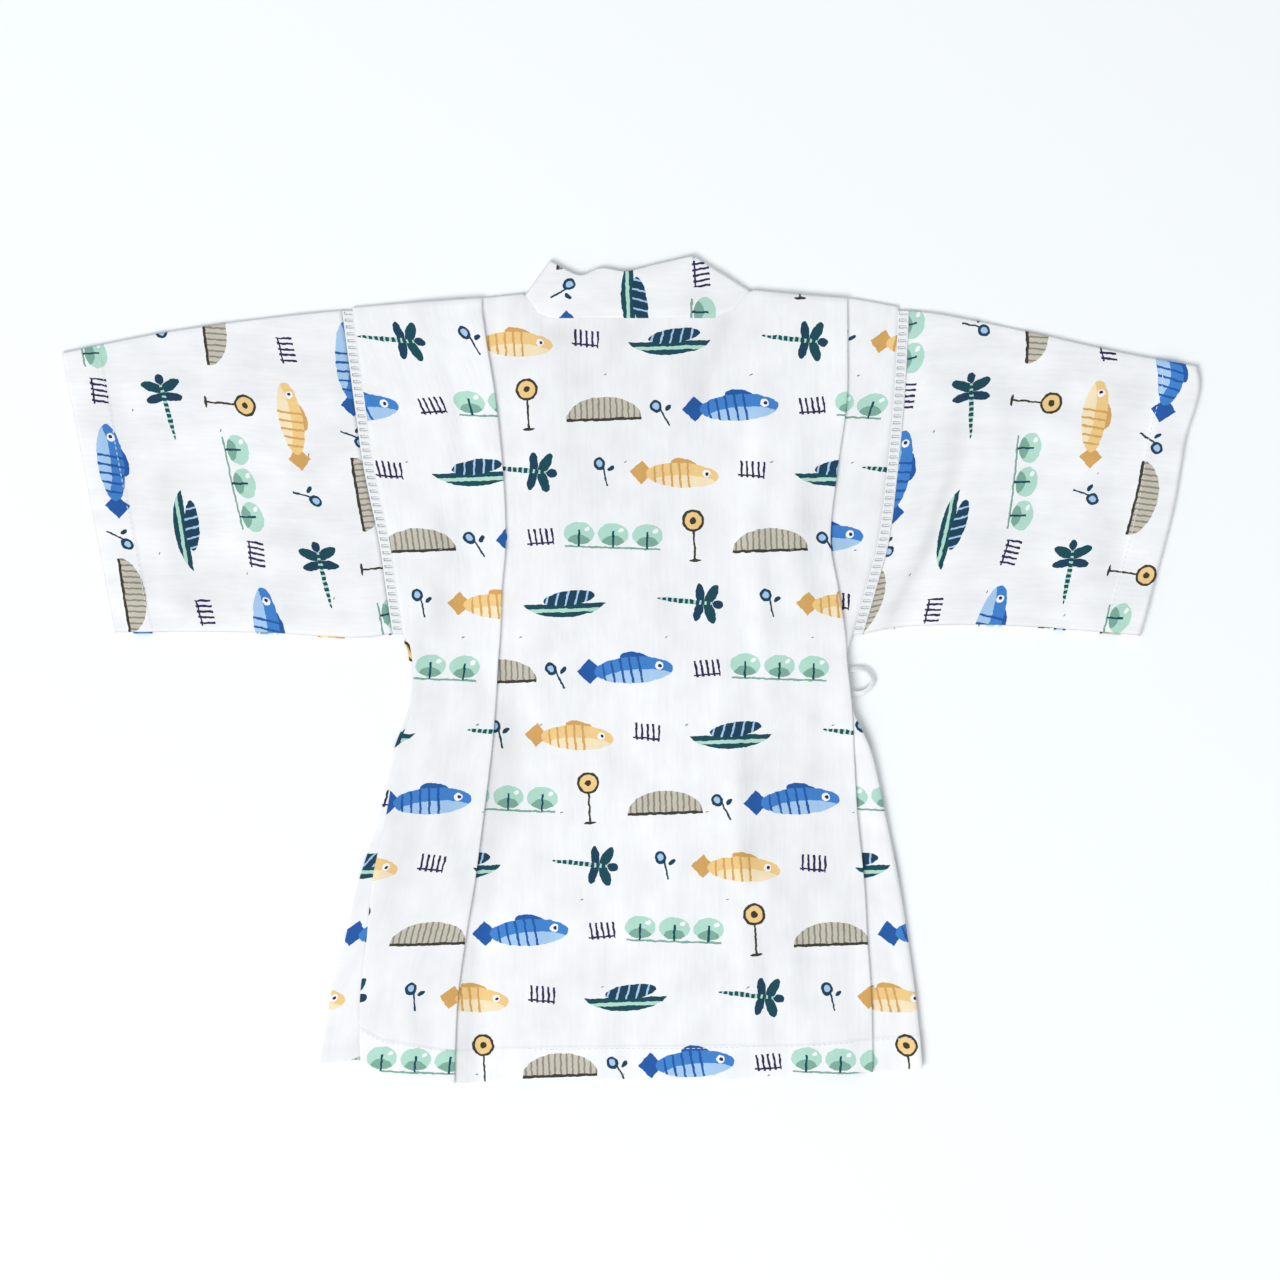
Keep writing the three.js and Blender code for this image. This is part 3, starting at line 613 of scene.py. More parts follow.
def add_mesh(name, points, faces, material):
    """A smoothly shaded mesh of points in millimetres."""
    mesh = bpy.data.meshes.new(name)
    mesh.from_pydata((points * MM).tolist(), [], faces)
    mesh.polygons.foreach_set("use_smooth", [True] * len(faces))
    mesh.materials.append(material)
    return add_object(name, mesh)


def back_painted_light_shade(x, y, above_hem):
    """How much the back is painted lighter where it is doubled, and painted darker as shade of its creases and of
    single cloth.
    """
    total = creases(x, y, BACK_PAINTED_LIGHT_SHADE)
    white, wide, fold_shadow = (np.interp(y, FOLD_PAINTED_LIGHT_SHADE[:, 0], FOLD_PAINTED_LIGHT_SHADE[:, k]) for k in (1, 2, 3))
    beyond = x - body_edge("fold_left", y)
    doubled = smooth((beyond + white) / 4) * (beyond < 0) * smooth((y - DOUBLED_FROM) / DOUBLED_RUN)
    total += LEFT_FOLD_PAINTED_LIGHT * doubled
    # Painted shadow of the left fold on the single cloth beside it
    total += fold_shadow * (beyond > 0) * (1 - smooth((beyond / wide - 0.5) / 0.7))
    beyond = x - body_edge("fold_right", y)
    total += RIGHT_FOLD_PAINTED_LIGHT * smooth((beyond + body_edge("depth_right", y)) / 3) * (beyond < 0)
    return total + HEM_PAINTED_LIGHT * in_hem(above_hem)


def shell(name, points, cut, material, thickness=SHELL, keep=None, layers=None):
    """A sheet through rows of points, with its flat cut as the UV map, in metres."""
    rows, columns = points.shape[:2]
    faces = []
    for i in range(rows - 1):
        for j in range(columns - 1):
            if keep is None or keep(i, j):
                a = i * columns + j
                faces.append((a, a + columns, a + columns + 1, a + 1))
    made = add_mesh(name, points.reshape(-1, 3), faces, material)
    flat = cut.reshape(-1, 2) * MM
    made.data.uv_layers.new(name="flat_cut").data.foreach_set("uv", flat[np.array(faces)].ravel())
    # Painted light and painted shade, kept per point for the cloth's colour
    if layers is not None:
        layers = np.pad(layers, ((rows - len(layers), 0), (0, 0)), "edge")
        painted_light_shade_attribute = made.data.attributes.new("layers", "FLOAT", "POINT")
        painted_light_shade_attribute.data.foreach_set("value", layers.ravel())
    made.data.update()
    solid = made.modifiers.new("cloth", "SOLIDIFY")
    solid.thickness = thickness * MM
    solid.offset = 0
    return made


def line_lengths(points):
    steps = np.linalg.norm(np.diff(points, axis=0), axis=1)
    return np.concatenate([[0], np.cumsum(steps)])


def through(points):
    """Curve through a few points, by share of its length."""
    points = np.array(points, float)
    ends = np.vstack([2 * points[0] - points[1], points, 2 * points[-1] - points[-2]])
    fine = []
    for k in range(len(points) - 1):
        p0, p1, p2, p3 = ends[k:k + 4]
        # Centripetal knots, as three.js spaces them
        d = [max(np.linalg.norm(b - a) ** 0.5, 1e-4) for a, b in ((p0, p1), (p1, p2), (p2, p3))]
        m1 = ((p1 - p0) / d[0] - (p2 - p0) / (d[0] + d[1]) + (p2 - p1) / d[1]) * d[1]
        m2 = ((p2 - p1) / d[1] - (p3 - p1) / (d[1] + d[2]) + (p3 - p2) / d[2]) * d[1]
        for t in np.linspace(0, 1, CURVE_POINTS // (len(points) - 1), endpoint=False):
            t2, t3 = t * t, t ** 3
            fine.append((2 * t3 - 3 * t2 + 1) * p1 + (t3 - 2 * t2 + t) * m1
                        + (3 * t2 - 2 * t3) * p2 + (t3 - t2) * m2)
    fine = np.array(fine + [points[-1]])
    at = line_lengths(fine)
    return lambda t: np.array([np.interp(t * at[-1], at, fine[:, k]) for k in range(fine.shape[1])])


def tube_surface(inner, outer, fold, closed, shares, flat_steps, puff):
    """Points of a flattened tube: one turn round it from its closed edge, upper layer first."""
    def place(s, f):
        a, b = inner(f), outer(f)
        return ((1 - s) * a + s * b
                + (1 - f) * (fold(s) - lerp(inner(0), outer(0), s))
                + f * (closed(s) - lerp(inner(1), outer(1), s)))

    rows, cuts = [], []
    for s in shares:
        tall = place(s, 0)[1] - place(s, 1)[1]
        inset = (TURN + HALF) / tall
        share = np.linspace(1 - inset, inset, flat_steps)
        ring = [(*place(s, f), STEP + HALF + puff(s, f)) for f in share]
        x, y = place(s, inset)
        for angle in np.linspace(0, math.pi, TURN_POINTS + 2)[1:-1]:
            ring.append((x, y + TURN * math.sin(angle), HALF + TURN + TURN * math.cos(angle)))
        ring += [(*place(s, f), HALF) for f in share[::-1]]
        x, y = place(s, 1 - inset)
        for angle in np.linspace(math.pi, 0, TURN_POINTS + 2)[1:]:
            ring.append((x, y - TURN * math.sin(angle), HALF + TURN + TURN * math.cos(angle)))
        ring[-1] = (ring[0][0], ring[0][1] - 0.02, ring[0][2])
        ring = np.array(ring)
        rows.append(ring)
        cuts.append(line_lengths(ring))
    return np.array(rows), np.array(cuts)


def collar_surface():
    """Middle points of the collar strip in bars across it, and the way each bar faces."""
    bars = []
    across = np.linspace(0, 1, 12)

    def bar(a, b, z, n):
        points = [(lerp(a[0], b[0], t), lerp(a[1], b[1], t)) for t in across]
        bars.append(([(x, y, z(y)) for x, y in points], n))

    def front_bar(seam_x, y, sign, limit, first):
        seam = np.array([seam_x(y), y])
        leaning = smooth((NECK_LEFT[1] - y) / COLLAR_LEAN_RUN)
        square = COLLAR_SQUARE * (sign * COLLAR_WIDE, COLLAR_WIDE)
        free = seam + lerp(first, square, leaning)
        share = min(1, (limit - seam[0]) / (free[0] - seam[0]))
        return seam, lerp(seam, free, share)

    radius = (COLLAR_BACK_Z - COLLAR_FRONT_Z) / 2

    def peak(seam, free, way):
        seam, free = np.array(seam, float), np.array(free, float)
        run = (free - seam) / np.linalg.norm(free - seam)
        out = way * np.array([run[1], -run[0]])
        inset = COLLAR_THICK / 2 + radius
        return seam - out * inset, free - out * inset, out

    def turn(corner, rising):
        a, b, out = corner
        angles = np.linspace(math.pi, 0, 9) if rising else np.linspace(0, math.pi, 9)
        for angle in angles:
            shift = out * radius * math.sin(angle)
            level = COLLAR_FRONT_Z + radius * (1 + math.cos(angle))
            n = (*(out * math.sin(angle)), math.cos(angle))
            bar(a + shift, b + shift, lambda _, z=level: z, n)

    left, right = peak(NECK_LEFT, COLLAR_TOP[0], -1), peak(NECK_RIGHT, COLLAR_TOP[-1], 1)
    down = (0, 0, -1)
    heights = np.linspace(COLLAR_END_Y, COLLAR_FRONT_TOP, 70)
    for y in heights:
        bar(*front_bar(seam_left_x, y, 1, FRONT_EDGE_LEFT, left[1] - left[0]),
            lambda _: COLLAR_FRONT_Z, down)
    turn(left, True)
    for t in np.linspace(0, 1, 46)[1:-1]:
        x_top, x_seam = lerp(COLLAR_TOP[0][0], COLLAR_TOP[-1][0], t), lerp(*COLLAR_SEAM_X, t)
        free = table_value(COLLAR_TOP[:, 0], COLLAR_TOP[:, 1], x_top)
        bar((x_seam, corner_value(NECK, x_seam)), (x_top, free), lambda _: COLLAR_BACK_Z, (0, 0, 1))
    turn(right, False)
    for y in heights[::-1]:
        bar(*front_bar(seam_right_x, y, -1, FRONT_EDGE_RIGHT, right[1] - right[0]),
            lambda at: COLLAR_FRONT_Z + UNDERLAP_RISE * neck_slope(at), down)
    return np.array([points for points, _ in bars]), np.array([n for _, n in bars])


def folded_band(points, facing, apart):
    """Cross-section of a strip folded lengthwise: front layer, free edge, back layer."""
    n = facing[:, None, :] * apart
    over = points[:, -1] - points[:, -2]
    over /= np.linalg.norm(over, axis=1)[:, None]
    turn = [points[:, -1] + apart * (math.sin(a) * over + math.cos(a) * facing)
            for a in np.linspace(0, math.pi, FOLD_POINTS)[1:-1]]
    return np.concatenate([points + n, np.stack(turn, axis=1), points[:, ::-1] - n], axis=1)


def closed_tubes(name, tubes, material):
    """Tubes through rings of points, closed at both ends, as one mesh."""
    points, faces = [], []
    for rings in tubes:
        base = len(points)
        rows, sides = rings.shape[:2]
        points += rings.reshape(-1, 3).tolist()
        for k in range(rows - 1):
            for m in range(sides):
                a, b = (base + sides * k + n for n in (m, (m + 1) % sides))
                faces.append((a, b, b + sides, a + sides))
        last = base + sides * (rows - 1)
        faces.append(tuple(range(base + sides - 1, base - 1, -1)))
        faces.append(tuple(range(last, last + sides)))
    return add_mesh(name, np.array(points), faces, material)


def stitch_tubes(line):
    """A row of small stitches along a line of surface points."""
    at = line_lengths(line)
    up = np.array([0.0, 0.0, 1.0])
    for start in np.arange(1.0, at[-1] - STITCH_LONG, STITCH_PITCH):
        a, b = (np.array([np.interp(s, at, line[:, k]) for k in range(3)])
                for s in (start, start + STITCH_LONG))
        side = np.cross(up, b - a)
        side /= np.linalg.norm(side)
        rings = []
        for t, size, height in STITCH_RINGS:
            centre = lerp(a, b, t) + up * height
            rings.append([centre + size * (math.cos(r) * side + 0.7 * math.sin(r) * up)
                          for r in np.linspace(0, 2 * math.pi, 7)[:-1]])
        yield np.array(rings)


# Materials

class Graph:
    """Short ways to add nodes to a material."""

    def __init__(self, name):
        self.material = bpy.data.materials.new(name)
        self.material.use_nodes = True
        self.tree = self.material.node_tree
        self.shader = self.tree.nodes["Principled BSDF"]

    def feed(self, node, inputs):
        """Link a node's inputs to other nodes' outputs, or set them to values."""
        for socket, value in dict(inputs).items():
            if isinstance(value, bpy.types.NodeSocket):
                self.tree.links.new(value, node.inputs[socket])
            else:
                node.inputs[socket].default_value = value

    def add(self, kind, inputs=(), **settings):
        made = self.tree.nodes.new(kind)
        for key, value in settings.items():
            setattr(made, key, value)
        self.feed(made, inputs)
        return made

    def math(self, operation, *values):
        return self.add("ShaderNodeMath", enumerate(values), operation=operation).outputs[0]

    def vector(self, operation, *values):
        made = self.add("ShaderNodeVectorMath", enumerate(values), operation=operation)
        return made.outputs["Value" if operation == "LENGTH" else "Vector"]

    def split(self, vector):
        made = self.add("ShaderNodeSeparateXYZ", {0: vector})
        return made.outputs[0], made.outputs[1]

    def join(self, x, y):
        return self.add("ShaderNodeCombineXYZ", {0: x, 1: y}).outputs[0]

    def within(self, vector, centre=(0, 0), size=(1, 1), turn=0):
        """A place in a shape's own frame, where the shape reaches from -1 to 1."""
        return self.add("ShaderNodeMapping", {
            "Vector": vector, "Location": (*centre, 0), "Rotation": (0, 0, math.radians(turn)),
            "Scale": (*size, 1)}, vector_type="TEXTURE").outputs[0]

    def disc(self, vector, centre, size, turn=0):
        inside = self.within(vector, centre, size, turn)
        return self.math("LESS_THAN", self.vector("LENGTH", inside), 1)

    def block(self, vector, centre, size, turn=0):
        x, y = self.split(self.vector("ABSOLUTE", self.within(vector, centre, size, turn)))
        return self.math("LESS_THAN", self.math("MAXIMUM", x, y), 1)

    def both(self, a, b):
        return self.math("MULTIPLY", a, b)

    def stripes(self, vector, pitch, share, turn=0):
        x, _ = self.split(self.within(vector, (0, 0), (pitch, 1), turn))
        return self.math("LESS_THAN", self.math("FRACT", x), share)

    def paint(self, under, mask, colour):
        made = self.add("ShaderNodeMix", {0: mask, 6: under, 7: colour}, data_type="RGBA")
        return made.outputs[2]

    def noise(self, vector, detail=2.0):
        made = self.add("ShaderNodeTexNoise", {"Vector": vector, "Scale": 1.0, "Detail": detail})
        return made.outputs[0]


def rgb(text):
    """A colour written as in a web page, as linear numbers."""
    channels = [int(text[k:k + 2], 16) / 255 for k in (1, 3, 5)]
    return (*((c + 0.055) ** 2.4 / 1.055 ** 2.4 if c > 0.04 else c / 12.92 for c in channels), 1)


GROUND = rgb("#f7f8f9")
BLUE, LIGHT_BLUE, DEEP_BLUE = rgb("#3f83cf"), rgb("#a9cdf0"), rgb("#1f5aa6")
TEAL, NAVY = rgb("#0d4a56"), rgb("#123f58")
MINT, SAGE = rgb("#b5e0cf"), rgb("#7fae9c")
SAND, CREAM, ORANGE = rgb("#f5cf8a"), rgb("#fbe8c2"), rgb("#d9a860")
STONE, DARK_STONE = rgb("#c9c4b4"), rgb("#8f8b80")
INDIGO, CHARCOAL, WHITE = rgb("#2b2452"), rgb("#3b3a30"), rgb("#fbfcfd")
CLOTH_TONE = 0.757

# A motif comes again after REPEAT_LONG in its row, and two rows on it is shifted by ROW_SHIFT
REPEAT_LONG = 240
ROW_PITCH = 36
ROW_SHIFT = 0.38 * REPEAT_LONG
HAND_WOBBLE = 1.3


def repeat(g, place, centre, long=REPEAT_LONG, tall=2 * ROW_PITCH, turn=0, size=1):
    """Place within one motif's own repeat, turned and sized for the motif."""
    x, y = g.split(place)
    step = g.math("FLOOR", g.math("DIVIDE", g.math("SUBTRACT", y, centre[1] - tall / 2), tall))
    x = g.math("MULTIPLY_ADD", step, ROW_SHIFT, g.math("SUBTRACT", x, centre[0]))
    half = (long / 2, tall / 2, 1)
    local = g.vector("WRAP", g.join(x, g.math("SUBTRACT", y, centre[1])), half,
                     tuple(-h for h in half))
    return g.within(local, size=(size, size), turn=turn)


# Each motif is drawn round its own middle, in millimetres, from centres and half sizes

def draw_fish(g, under, p, main, light, dark):
    body_mask = g.disc(p, (2, 0), (20, 6.8))
    under = g.paint(under, g.block(p, (-20.5, 0.4), (4.6, 4.6), 45), dark)
    under = g.paint(under, g.disc(p, (3, 5.6), (8, 3.4), -12), dark)
    under = g.paint(under, body_mask, main)
    under = g.paint(under, g.both(body_mask, g.disc(p, (4, -4.2), (18, 4.4))), light)
    bars = g.both(g.stripes(p, 4.6, 0.26, 8), g.block(p, (-3, 0), (11, 9)))
    under = g.paint(under, g.both(body_mask, bars), dark)
    under = g.paint(under, g.disc(p, (15, 1.6), (2.1, 2.1)), WHITE)
    return g.paint(under, g.disc(p, (15.4, 1.5), (0.95, 0.95)), INDIGO)


def draw_dragonfly(g, under, p):
    for centre, size, turn, colour in (
            ((7, 5.2), (3.1, 7.2), -24, TEAL), ((0, 5), (2.7, 6.6), 10, NAVY),
            ((7, -5.2), (3.1, 7.2), 24, TEAL), ((0, -5), (2.7, 6.6), -10, NAVY)):
        under = g.paint(under, g.disc(p, centre, size, turn), colour)
    tail = g.disc(p, (-8, 0), (18, 1.5))
    under = g.paint(under, tail, TEAL)
    under = g.paint(under, g.both(tail, g.stripes(p, 3.4, 0.35)), MINT)
    return g.paint(under, g.disc(p, (11.5, 0), (3.2, 2.6)), NAVY)


def draw_leaves(g, under, p):
    x, y = g.split(p)
    row = g.math("LESS_THAN", g.math("ABSOLUTE", x), 28)
    one = g.vector("WRAP", p, (9.4, 40, 1), (-9.4, -40, -1))
    leaf = g.both(g.disc(one, (0, 0.4), (8.4, 6.2)), row)
    under = g.paint(under, g.both(g.block(p, (0, -6.9), (26, 0.55)), row), SAGE)
    under = g.paint(under, leaf, MINT)
    under = g.paint(under, g.both(g.disc(one, (0, -4.8), (6.2, 4.6)), leaf), SAGE)
    under = g.paint(under, g.both(g.block(one, (0, -2.2), (0.6, 4.6)), row), TEAL)
    return g.paint(under, g.both(g.disc(one, (4.4, 3), (1.6, 1.1), 30), row), WHITE)


def draw_shell(g, under, p):
    cut = g.both(g.disc(p, (0, -5.2), (21, 12.2)), g.block(p, (0, 3), (24, 8.2)))
    under = g.paint(under, cut, STONE)
    under = g.paint(under, g.both(cut, g.stripes(p, 3.3, 0.32)), DARK_STONE)
    return g.paint(under, g.block(p, (0, -5.6), (21, 0.8)), CHARCOAL)


def draw_boat(g, under, p):
    hull = g.both(g.disc(p, (0, 3.6), (25, 11)), g.block(p, (0, -4), (26, 4.4)))
    under = g.paint(under, hull, TEAL)
    under = g.paint(under, g.both(hull, g.block(p, (0, -3.4), (26, 1.0))), MINT)
    leaf = g.disc(p, (3, 3.6), (15, 4.2), 6)
    under = g.paint(under, leaf, NAVY)
    return g.paint(under, g.both(leaf, g.stripes(p, 5.4, 0.2, -16)), LIGHT_BLUE)


def draw_reeds(g, under, p):
    row = g.block(p, (0, 0), (7.4, 4.6))
    under = g.paint(under, g.both(g.stripes(p, 3.1, 0.4, 6), row), INDIGO)
    return g.paint(under, g.block(p, (0, -3.4), (7.2, 0.5)), INDIGO)


def draw_flower(g, under, p):
    under = g.paint(under, g.block(p, (0, -9), (0.55, 8.6)), CHARCOAL)
    under = g.paint(under, g.disc(p, (0, -18), (3.4, 0.75)), CHARCOAL)
    under = g.paint(under, g.disc(p, (0, 4), (6.1, 6.1)), CHARCOAL)
    under = g.paint(under, g.disc(p, (0, 4), (4.7, 4.7)), SAND)
    return g.paint(under, g.disc(p, (0, 4), (1.8, 1.8)), CHARCOAL)


def draw_bud(g, under, p):
    under = g.paint(under, g.block(p, (1.6, -3), (0.5, 6), 16), NAVY)
    under = g.paint(under, g.disc(p, (-1.8, 3), (3.2, 3.6), 20), NAVY)
    under = g.paint(under, g.disc(p, (-1.8, 3.2), (1.7, 2), 20), LIGHT_BLUE)
    return g.paint(under, g.disc(p, (4.6, 1), (2.2, 1.2), 40), NAVY)


# The two rows of the print: motif, place, turn, size and colours
MOTIFS = [
    (draw_fish, (0, 0), 3, 1.08, BLUE, LIGHT_BLUE, DEEP_BLUE),
    (draw_leaves, (82, 2), -2, 1.0),
    (draw_shell, (168, -1), 2, 0.98),
    (draw_dragonfly, (38, 37), -6, 0.9),
    (draw_fish, (118, 35), -3, 1.0, SAND, CREAM, ORANGE),
    (draw_boat, (204, 36), 2, 0.95),
    (draw_reeds, (42, 1), 4, 1),
    (draw_reeds, (158, 38), -5, 1),
    (draw_flower, (126, 6), 3, 1),
    (draw_bud, (76, 38), -4, 1),
    (draw_bud, (199, -2), 12, 1),
]


def draw_print(g, place):
    """The whole print: pond motifs in rows, with small marks between them."""
    wobble = g.vector("SUBTRACT", g.add("ShaderNodeTexNoise", {
        "Vector": place, "Scale": 0.35, "Detail": 1.0}).outputs[1], (0.5, 0.5, 0.5))
    place = g.vector("ADD", place, g.vector("MULTIPLY", wobble, (HAND_WOBBLE, HAND_WOBBLE, 0)))
    colour = GROUND
    for draw, centre, turn, size, *colours in MOTIFS:
        colour = draw(g, colour, repeat(g, place, centre, turn=turn, size=size), *colours)
    flecks = g.disc(repeat(g, place, (20, 18), 80, 48), (0, 0), (0.9, 0.35), 20)
    return g.paint(colour, flecks, DARK_STONE)


def cloth(name):
    """Thin printed cotton crepe with its crinkle, bands and weave, and the painted light and painted shade that a
    point attribute carries.
    """
    g = Graph(name)
    uv = g.add("ShaderNodeUVMap", uv_map="flat_cut").outputs[0]
    place = g.vector("MULTIPLY", uv, (1 / MM, 1 / MM, 1))

    def grain(across, along, detail=2.0):
        """Noise with so many waves a millimetre across the cloth's grain and along it."""
        return g.noise(g.vector("MULTIPLY", place, (across, along, 1)), detail)

    bands, mottle = grain(0.12, 0.010, 1.5), grain(0.06, 0.045)
    crinkle, weave = grain(0.45, 0.06), grain(2.2, 1.6)
    # Painted light and painted shade from the mesh's point attribute, added to the cloth's tone
    layers = g.add("ShaderNodeAttribute", attribute_name="layers").outputs["Fac"]
    shade = CLOTH_TONE
    for part, share in ((bands, 0.09), (mottle, 0.2), (layers, 0.07), (crinkle, 0.05)):
        shade = g.math("MULTIPLY_ADD", part, share, shade)
    toned = g.vector("SCALE", draw_print(g, place))
    g.feed(toned.node, {"Scale": shade})
    height = g.math("ADD", g.math("MULTIPLY", crinkle, 0.9), g.math("MULTIPLY", weave, 0.32))
    bump = g.add("ShaderNodeBump", {"Height": height, "Strength": 0.55, "Distance": 0.0005})
    g.feed(g.shader, {"Base Color": toned, "Normal": bump.outputs[0], "Roughness": 0.9,
                      "Sheen Weight": 0.15, "Sheen Roughness": 0.6, "Specular IOR Level": 0.2})
    return g.material


def tape_cloth(name):
    """White woven tape with a fine rib across it."""
    g = Graph(name)
    place = g.add("ShaderNodeTexCoord").outputs["Object"]
    rib = g.noise(g.vector("MULTIPLY", place, (1800, 1800, 1800)))
    tone = g.noise(g.vector("MULTIPLY", place, (90, 90, 90)), 1.0)
    colour = g.paint(rgb("#e3e6e8"), g.math("MULTIPLY_ADD", rib, 0.5, g.math("MULTIPLY", tone, 0.5)),
                     rgb("#f2f4f5"))
    bump = g.add("ShaderNodeBump", {"Height": rib, "Strength": 0.5, "Distance": 0.0002})
    g.feed(g.shader, {"Base Color": colour, "Normal": bump.outputs[0], "Roughness": 0.85,
                      "Specular IOR Level": 0.2})
    return g.material


def declare(piece, nodes, slot):
    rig.ride(piece, "root")
    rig.slot(piece, slot)
    if nodes:
        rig.replaces(piece, *nodes)


# Camera, lights and floor; the lights' places and sizes are in metres

camera = add_object("camera", bpy.data.cameras.new("camera"))
camera.data.sensor_width = SENSOR
camera.data.lens = SENSOR * VIEW_HIGH / VIEW_WIDE
camera.location = (VIEW_X * MM, VIEW_Y * MM, VIEW_HIGH * MM)
bpy.context.scene.camera = camera


def area_light(name, at, size, power, colour):
    lamp = bpy.data.lights.new(name, "AREA")
    lamp.size, lamp.energy, lamp.color = size, power, colour
    made = add_object(name, lamp)
    made.location = at
    made.rotation_euler = (-Vector(at)).to_track_quat("-Z", "Y").to_euler()


area_light("window", (-1.9, -2.3, 4.0), 2.6, 156, (1.0, 0.99, 0.98))
area_light("ceiling", (0.0, 0.0, 3.2), 3.0, 10, (0.97, 0.985, 1.0))
world = bpy.data.worlds.new("studio")
bpy.context.scene.world = world
world.use_nodes = True
sky = world.node_tree.nodes["Background"].inputs
sky["Color"].default_value = (0.93, 0.965, 1.0, 1)
sky["Strength"].default_value = 0.54
bpy.context.scene.view_settings.view_transform = "Standard"

pale = Graph("pale_floor")
pale.feed(pale.shader, {"Base Color": (0.93, 0.955, 0.96, 1), "Roughness": 1.0,
                        "Specular IOR Level": 0.0})
corners = FLOOR_HALF * np.array([(-1, -1, 0), (1, -1, 0), (1, 1, 0), (-1, 1, 0)])
floor = add_mesh("floor", corners, [(0, 1, 2, 3)], pale.material)
floor.location.z = cad_low.z - FLOOR_GAP * MM
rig.stage(floor)

# Ties first: the outer one's bow loop shows at the right side

print_cotton = cloth("print_cotton")
white_tape = tape_cloth("white_tape")


def tie(name, line, node, lift):
    """A flat soft tape with rounded edges along a line on the floor."""
    curve = through(line)
    shares = np.linspace(0, 1, 90)
    middle = np.array([curve(t) for t in shares])
    way = np.gradient(middle, axis=0)
    way /= np.linalg.norm(way, axis=1)[:, None]
    side = np.stack([-way[:, 1], way[:, 0]], axis=1)
    rows = []
    stand = np.sin(math.pi * np.clip((shares - LOOP_FROM) / LOOP_RUN, 0, 1)) ** 0.7
    raised = lift * stand
    for p, s, up, tilt in zip(middle, side, raised, np.radians(LOOP_TILT) * stand * (lift > 0)):
        ring = []
        for angle in np.linspace(0, 2 * math.pi, 17)[:-1]:
            wide = TIE_WIDE / 2 * np.sign(math.cos(angle)) * abs(math.cos(angle)) ** 0.6
            tall = TIE_THICK / 2 * np.sign(math.sin(angle)) * abs(math.sin(angle)) ** 0.8
            across = wide * math.cos(tilt) - tall * math.sin(tilt)
            level = wide * math.sin(tilt) + 0.96 * tall * math.cos(tilt)
            ring.append((*(p + s * across), TIE_THICK / 2 + up + level))
        rows.append(ring)
    made = closed_tubes(name, [np.array(rows)], white_tape)
    declare(made, [node], "white_tape")
    path = [(*(p * MM), (TIE_THICK / 2 + up) * MM) for p, up in zip(middle, raised)]
    return made, path


tie_loop, loop_path = tie("tie_loop", TIE_FRONT_LINE, "tie_front", lift=2.4)
loop_length = float(line_lengths(np.array(loop_path))[-1])
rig.cord(tie_loop, exit=loop_path[0], length=loop_length, diameter=TIE_WIDE * MM,
        far_end="object", stiffness="limp", lay="loose", path=loop_path)
tie("tie_end", TIE_SIDE_LINE, "tie_side", lift=0)

# Body panels

def make_back():
    """Back panel with its creases, double hem and wavy edge, and the lines of its hem stitches."""
    points, cut, above_hem = body_surface(back_section, back_top, back_lift, 150, anchor=CENTRE_COLUMN)
    x, y = points[:, :, 0], points[:, :, 1]
    lumps = soft_noise(x, y, 38, 75, 1.5) * 0.35
    lumps += soft_noise(x, y, 9, 60, 4.5) * 0.12
    relief = BACK_RAISED * creases(x, y, BACK_CREASES) + lumps
    below_neck = smooth((back_top(x) - y) / NECK_CALM)
    top_side = smooth((points[:, :, 2] - 2.0) / 1.2) * 0.75 + 0.25
    points[:, :, 2] += np.maximum(top_side * ((relief + RELIEF_LIFT) * below_neck + BACK_LIFT), 0)
    hem_wave = HEM_WAVE * soft_noise(x, y * 0, 22, 50, 7.5)
    points[:, :, 2] += np.maximum(hem_wave, 0) * smooth(1 - above_hem / HEM_WAVE_RUN)
    points[:, :, 2] += HEM_PROUD * in_hem(above_hem)
    # The back's colour carries painted light and painted shade from its tables
    back = shell("back_cloth", *sew_shoulder(points, cut, BACK_SEAM_Z), print_cotton,
                 layers=back_painted_light_shade(x, y, above_hem))
    declare(back, ["back_panel"], "print_cotton")
    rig.sheet(back, flat=(0.345, 0.43), held="laid", rests_on=["front_left", "front_right", "collar"],
             area=0.1465)
    # The stitches show on three stretches of the hem, beside and between the folds
    row = int(np.argmin(abs(above_hem[:, 40] - (HEM_DEEP - 1))))
    return [points[row, first:last] + (0, 0, SHELL / 2) for first, last in HEM_STITCH_COLUMNS]


def make_fronts():
    """The outer front with its turned side strip, and the inner front."""
    points, cut, _ = body_surface(outer_section, lambda x: corner_value(SHOULDER, x),
                                  lambda x, y: 0 * x, 110)
    unevenness = 0.4 + 0.4 * soft_noise(points[:, :, 0], points[:, :, 1], 9, 30, 2.5)
    points[:, :, 2] += in_upper_layer(points) * unevenness
    outer = shell("outer_front_cloth", *sew_shoulder(points, cut, FRONT_SEAM_Z), print_cotton)
    declare(outer, ["front_left"], "print_cotton")
    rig.sheet(outer, flat=(0.27, 0.43), held="laid", rests_on=["floor"], area=0.0755)

    points, cut, _ = body_surface(inner_section, lambda x: corner_value(SHOULDER, x), inner_lift, 80)
    inner_cloth = shell("inner_front_cloth", *sew_shoulder(points, cut, FRONT_SEAM_Z), print_cotton)
    declare(inner_cloth, ["front_right"], "print_cotton")
    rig.sheet(inner_cloth, flat=(0.22, 0.43), held="laid", rests_on=["front_left"], area=0.0655)


# Collar

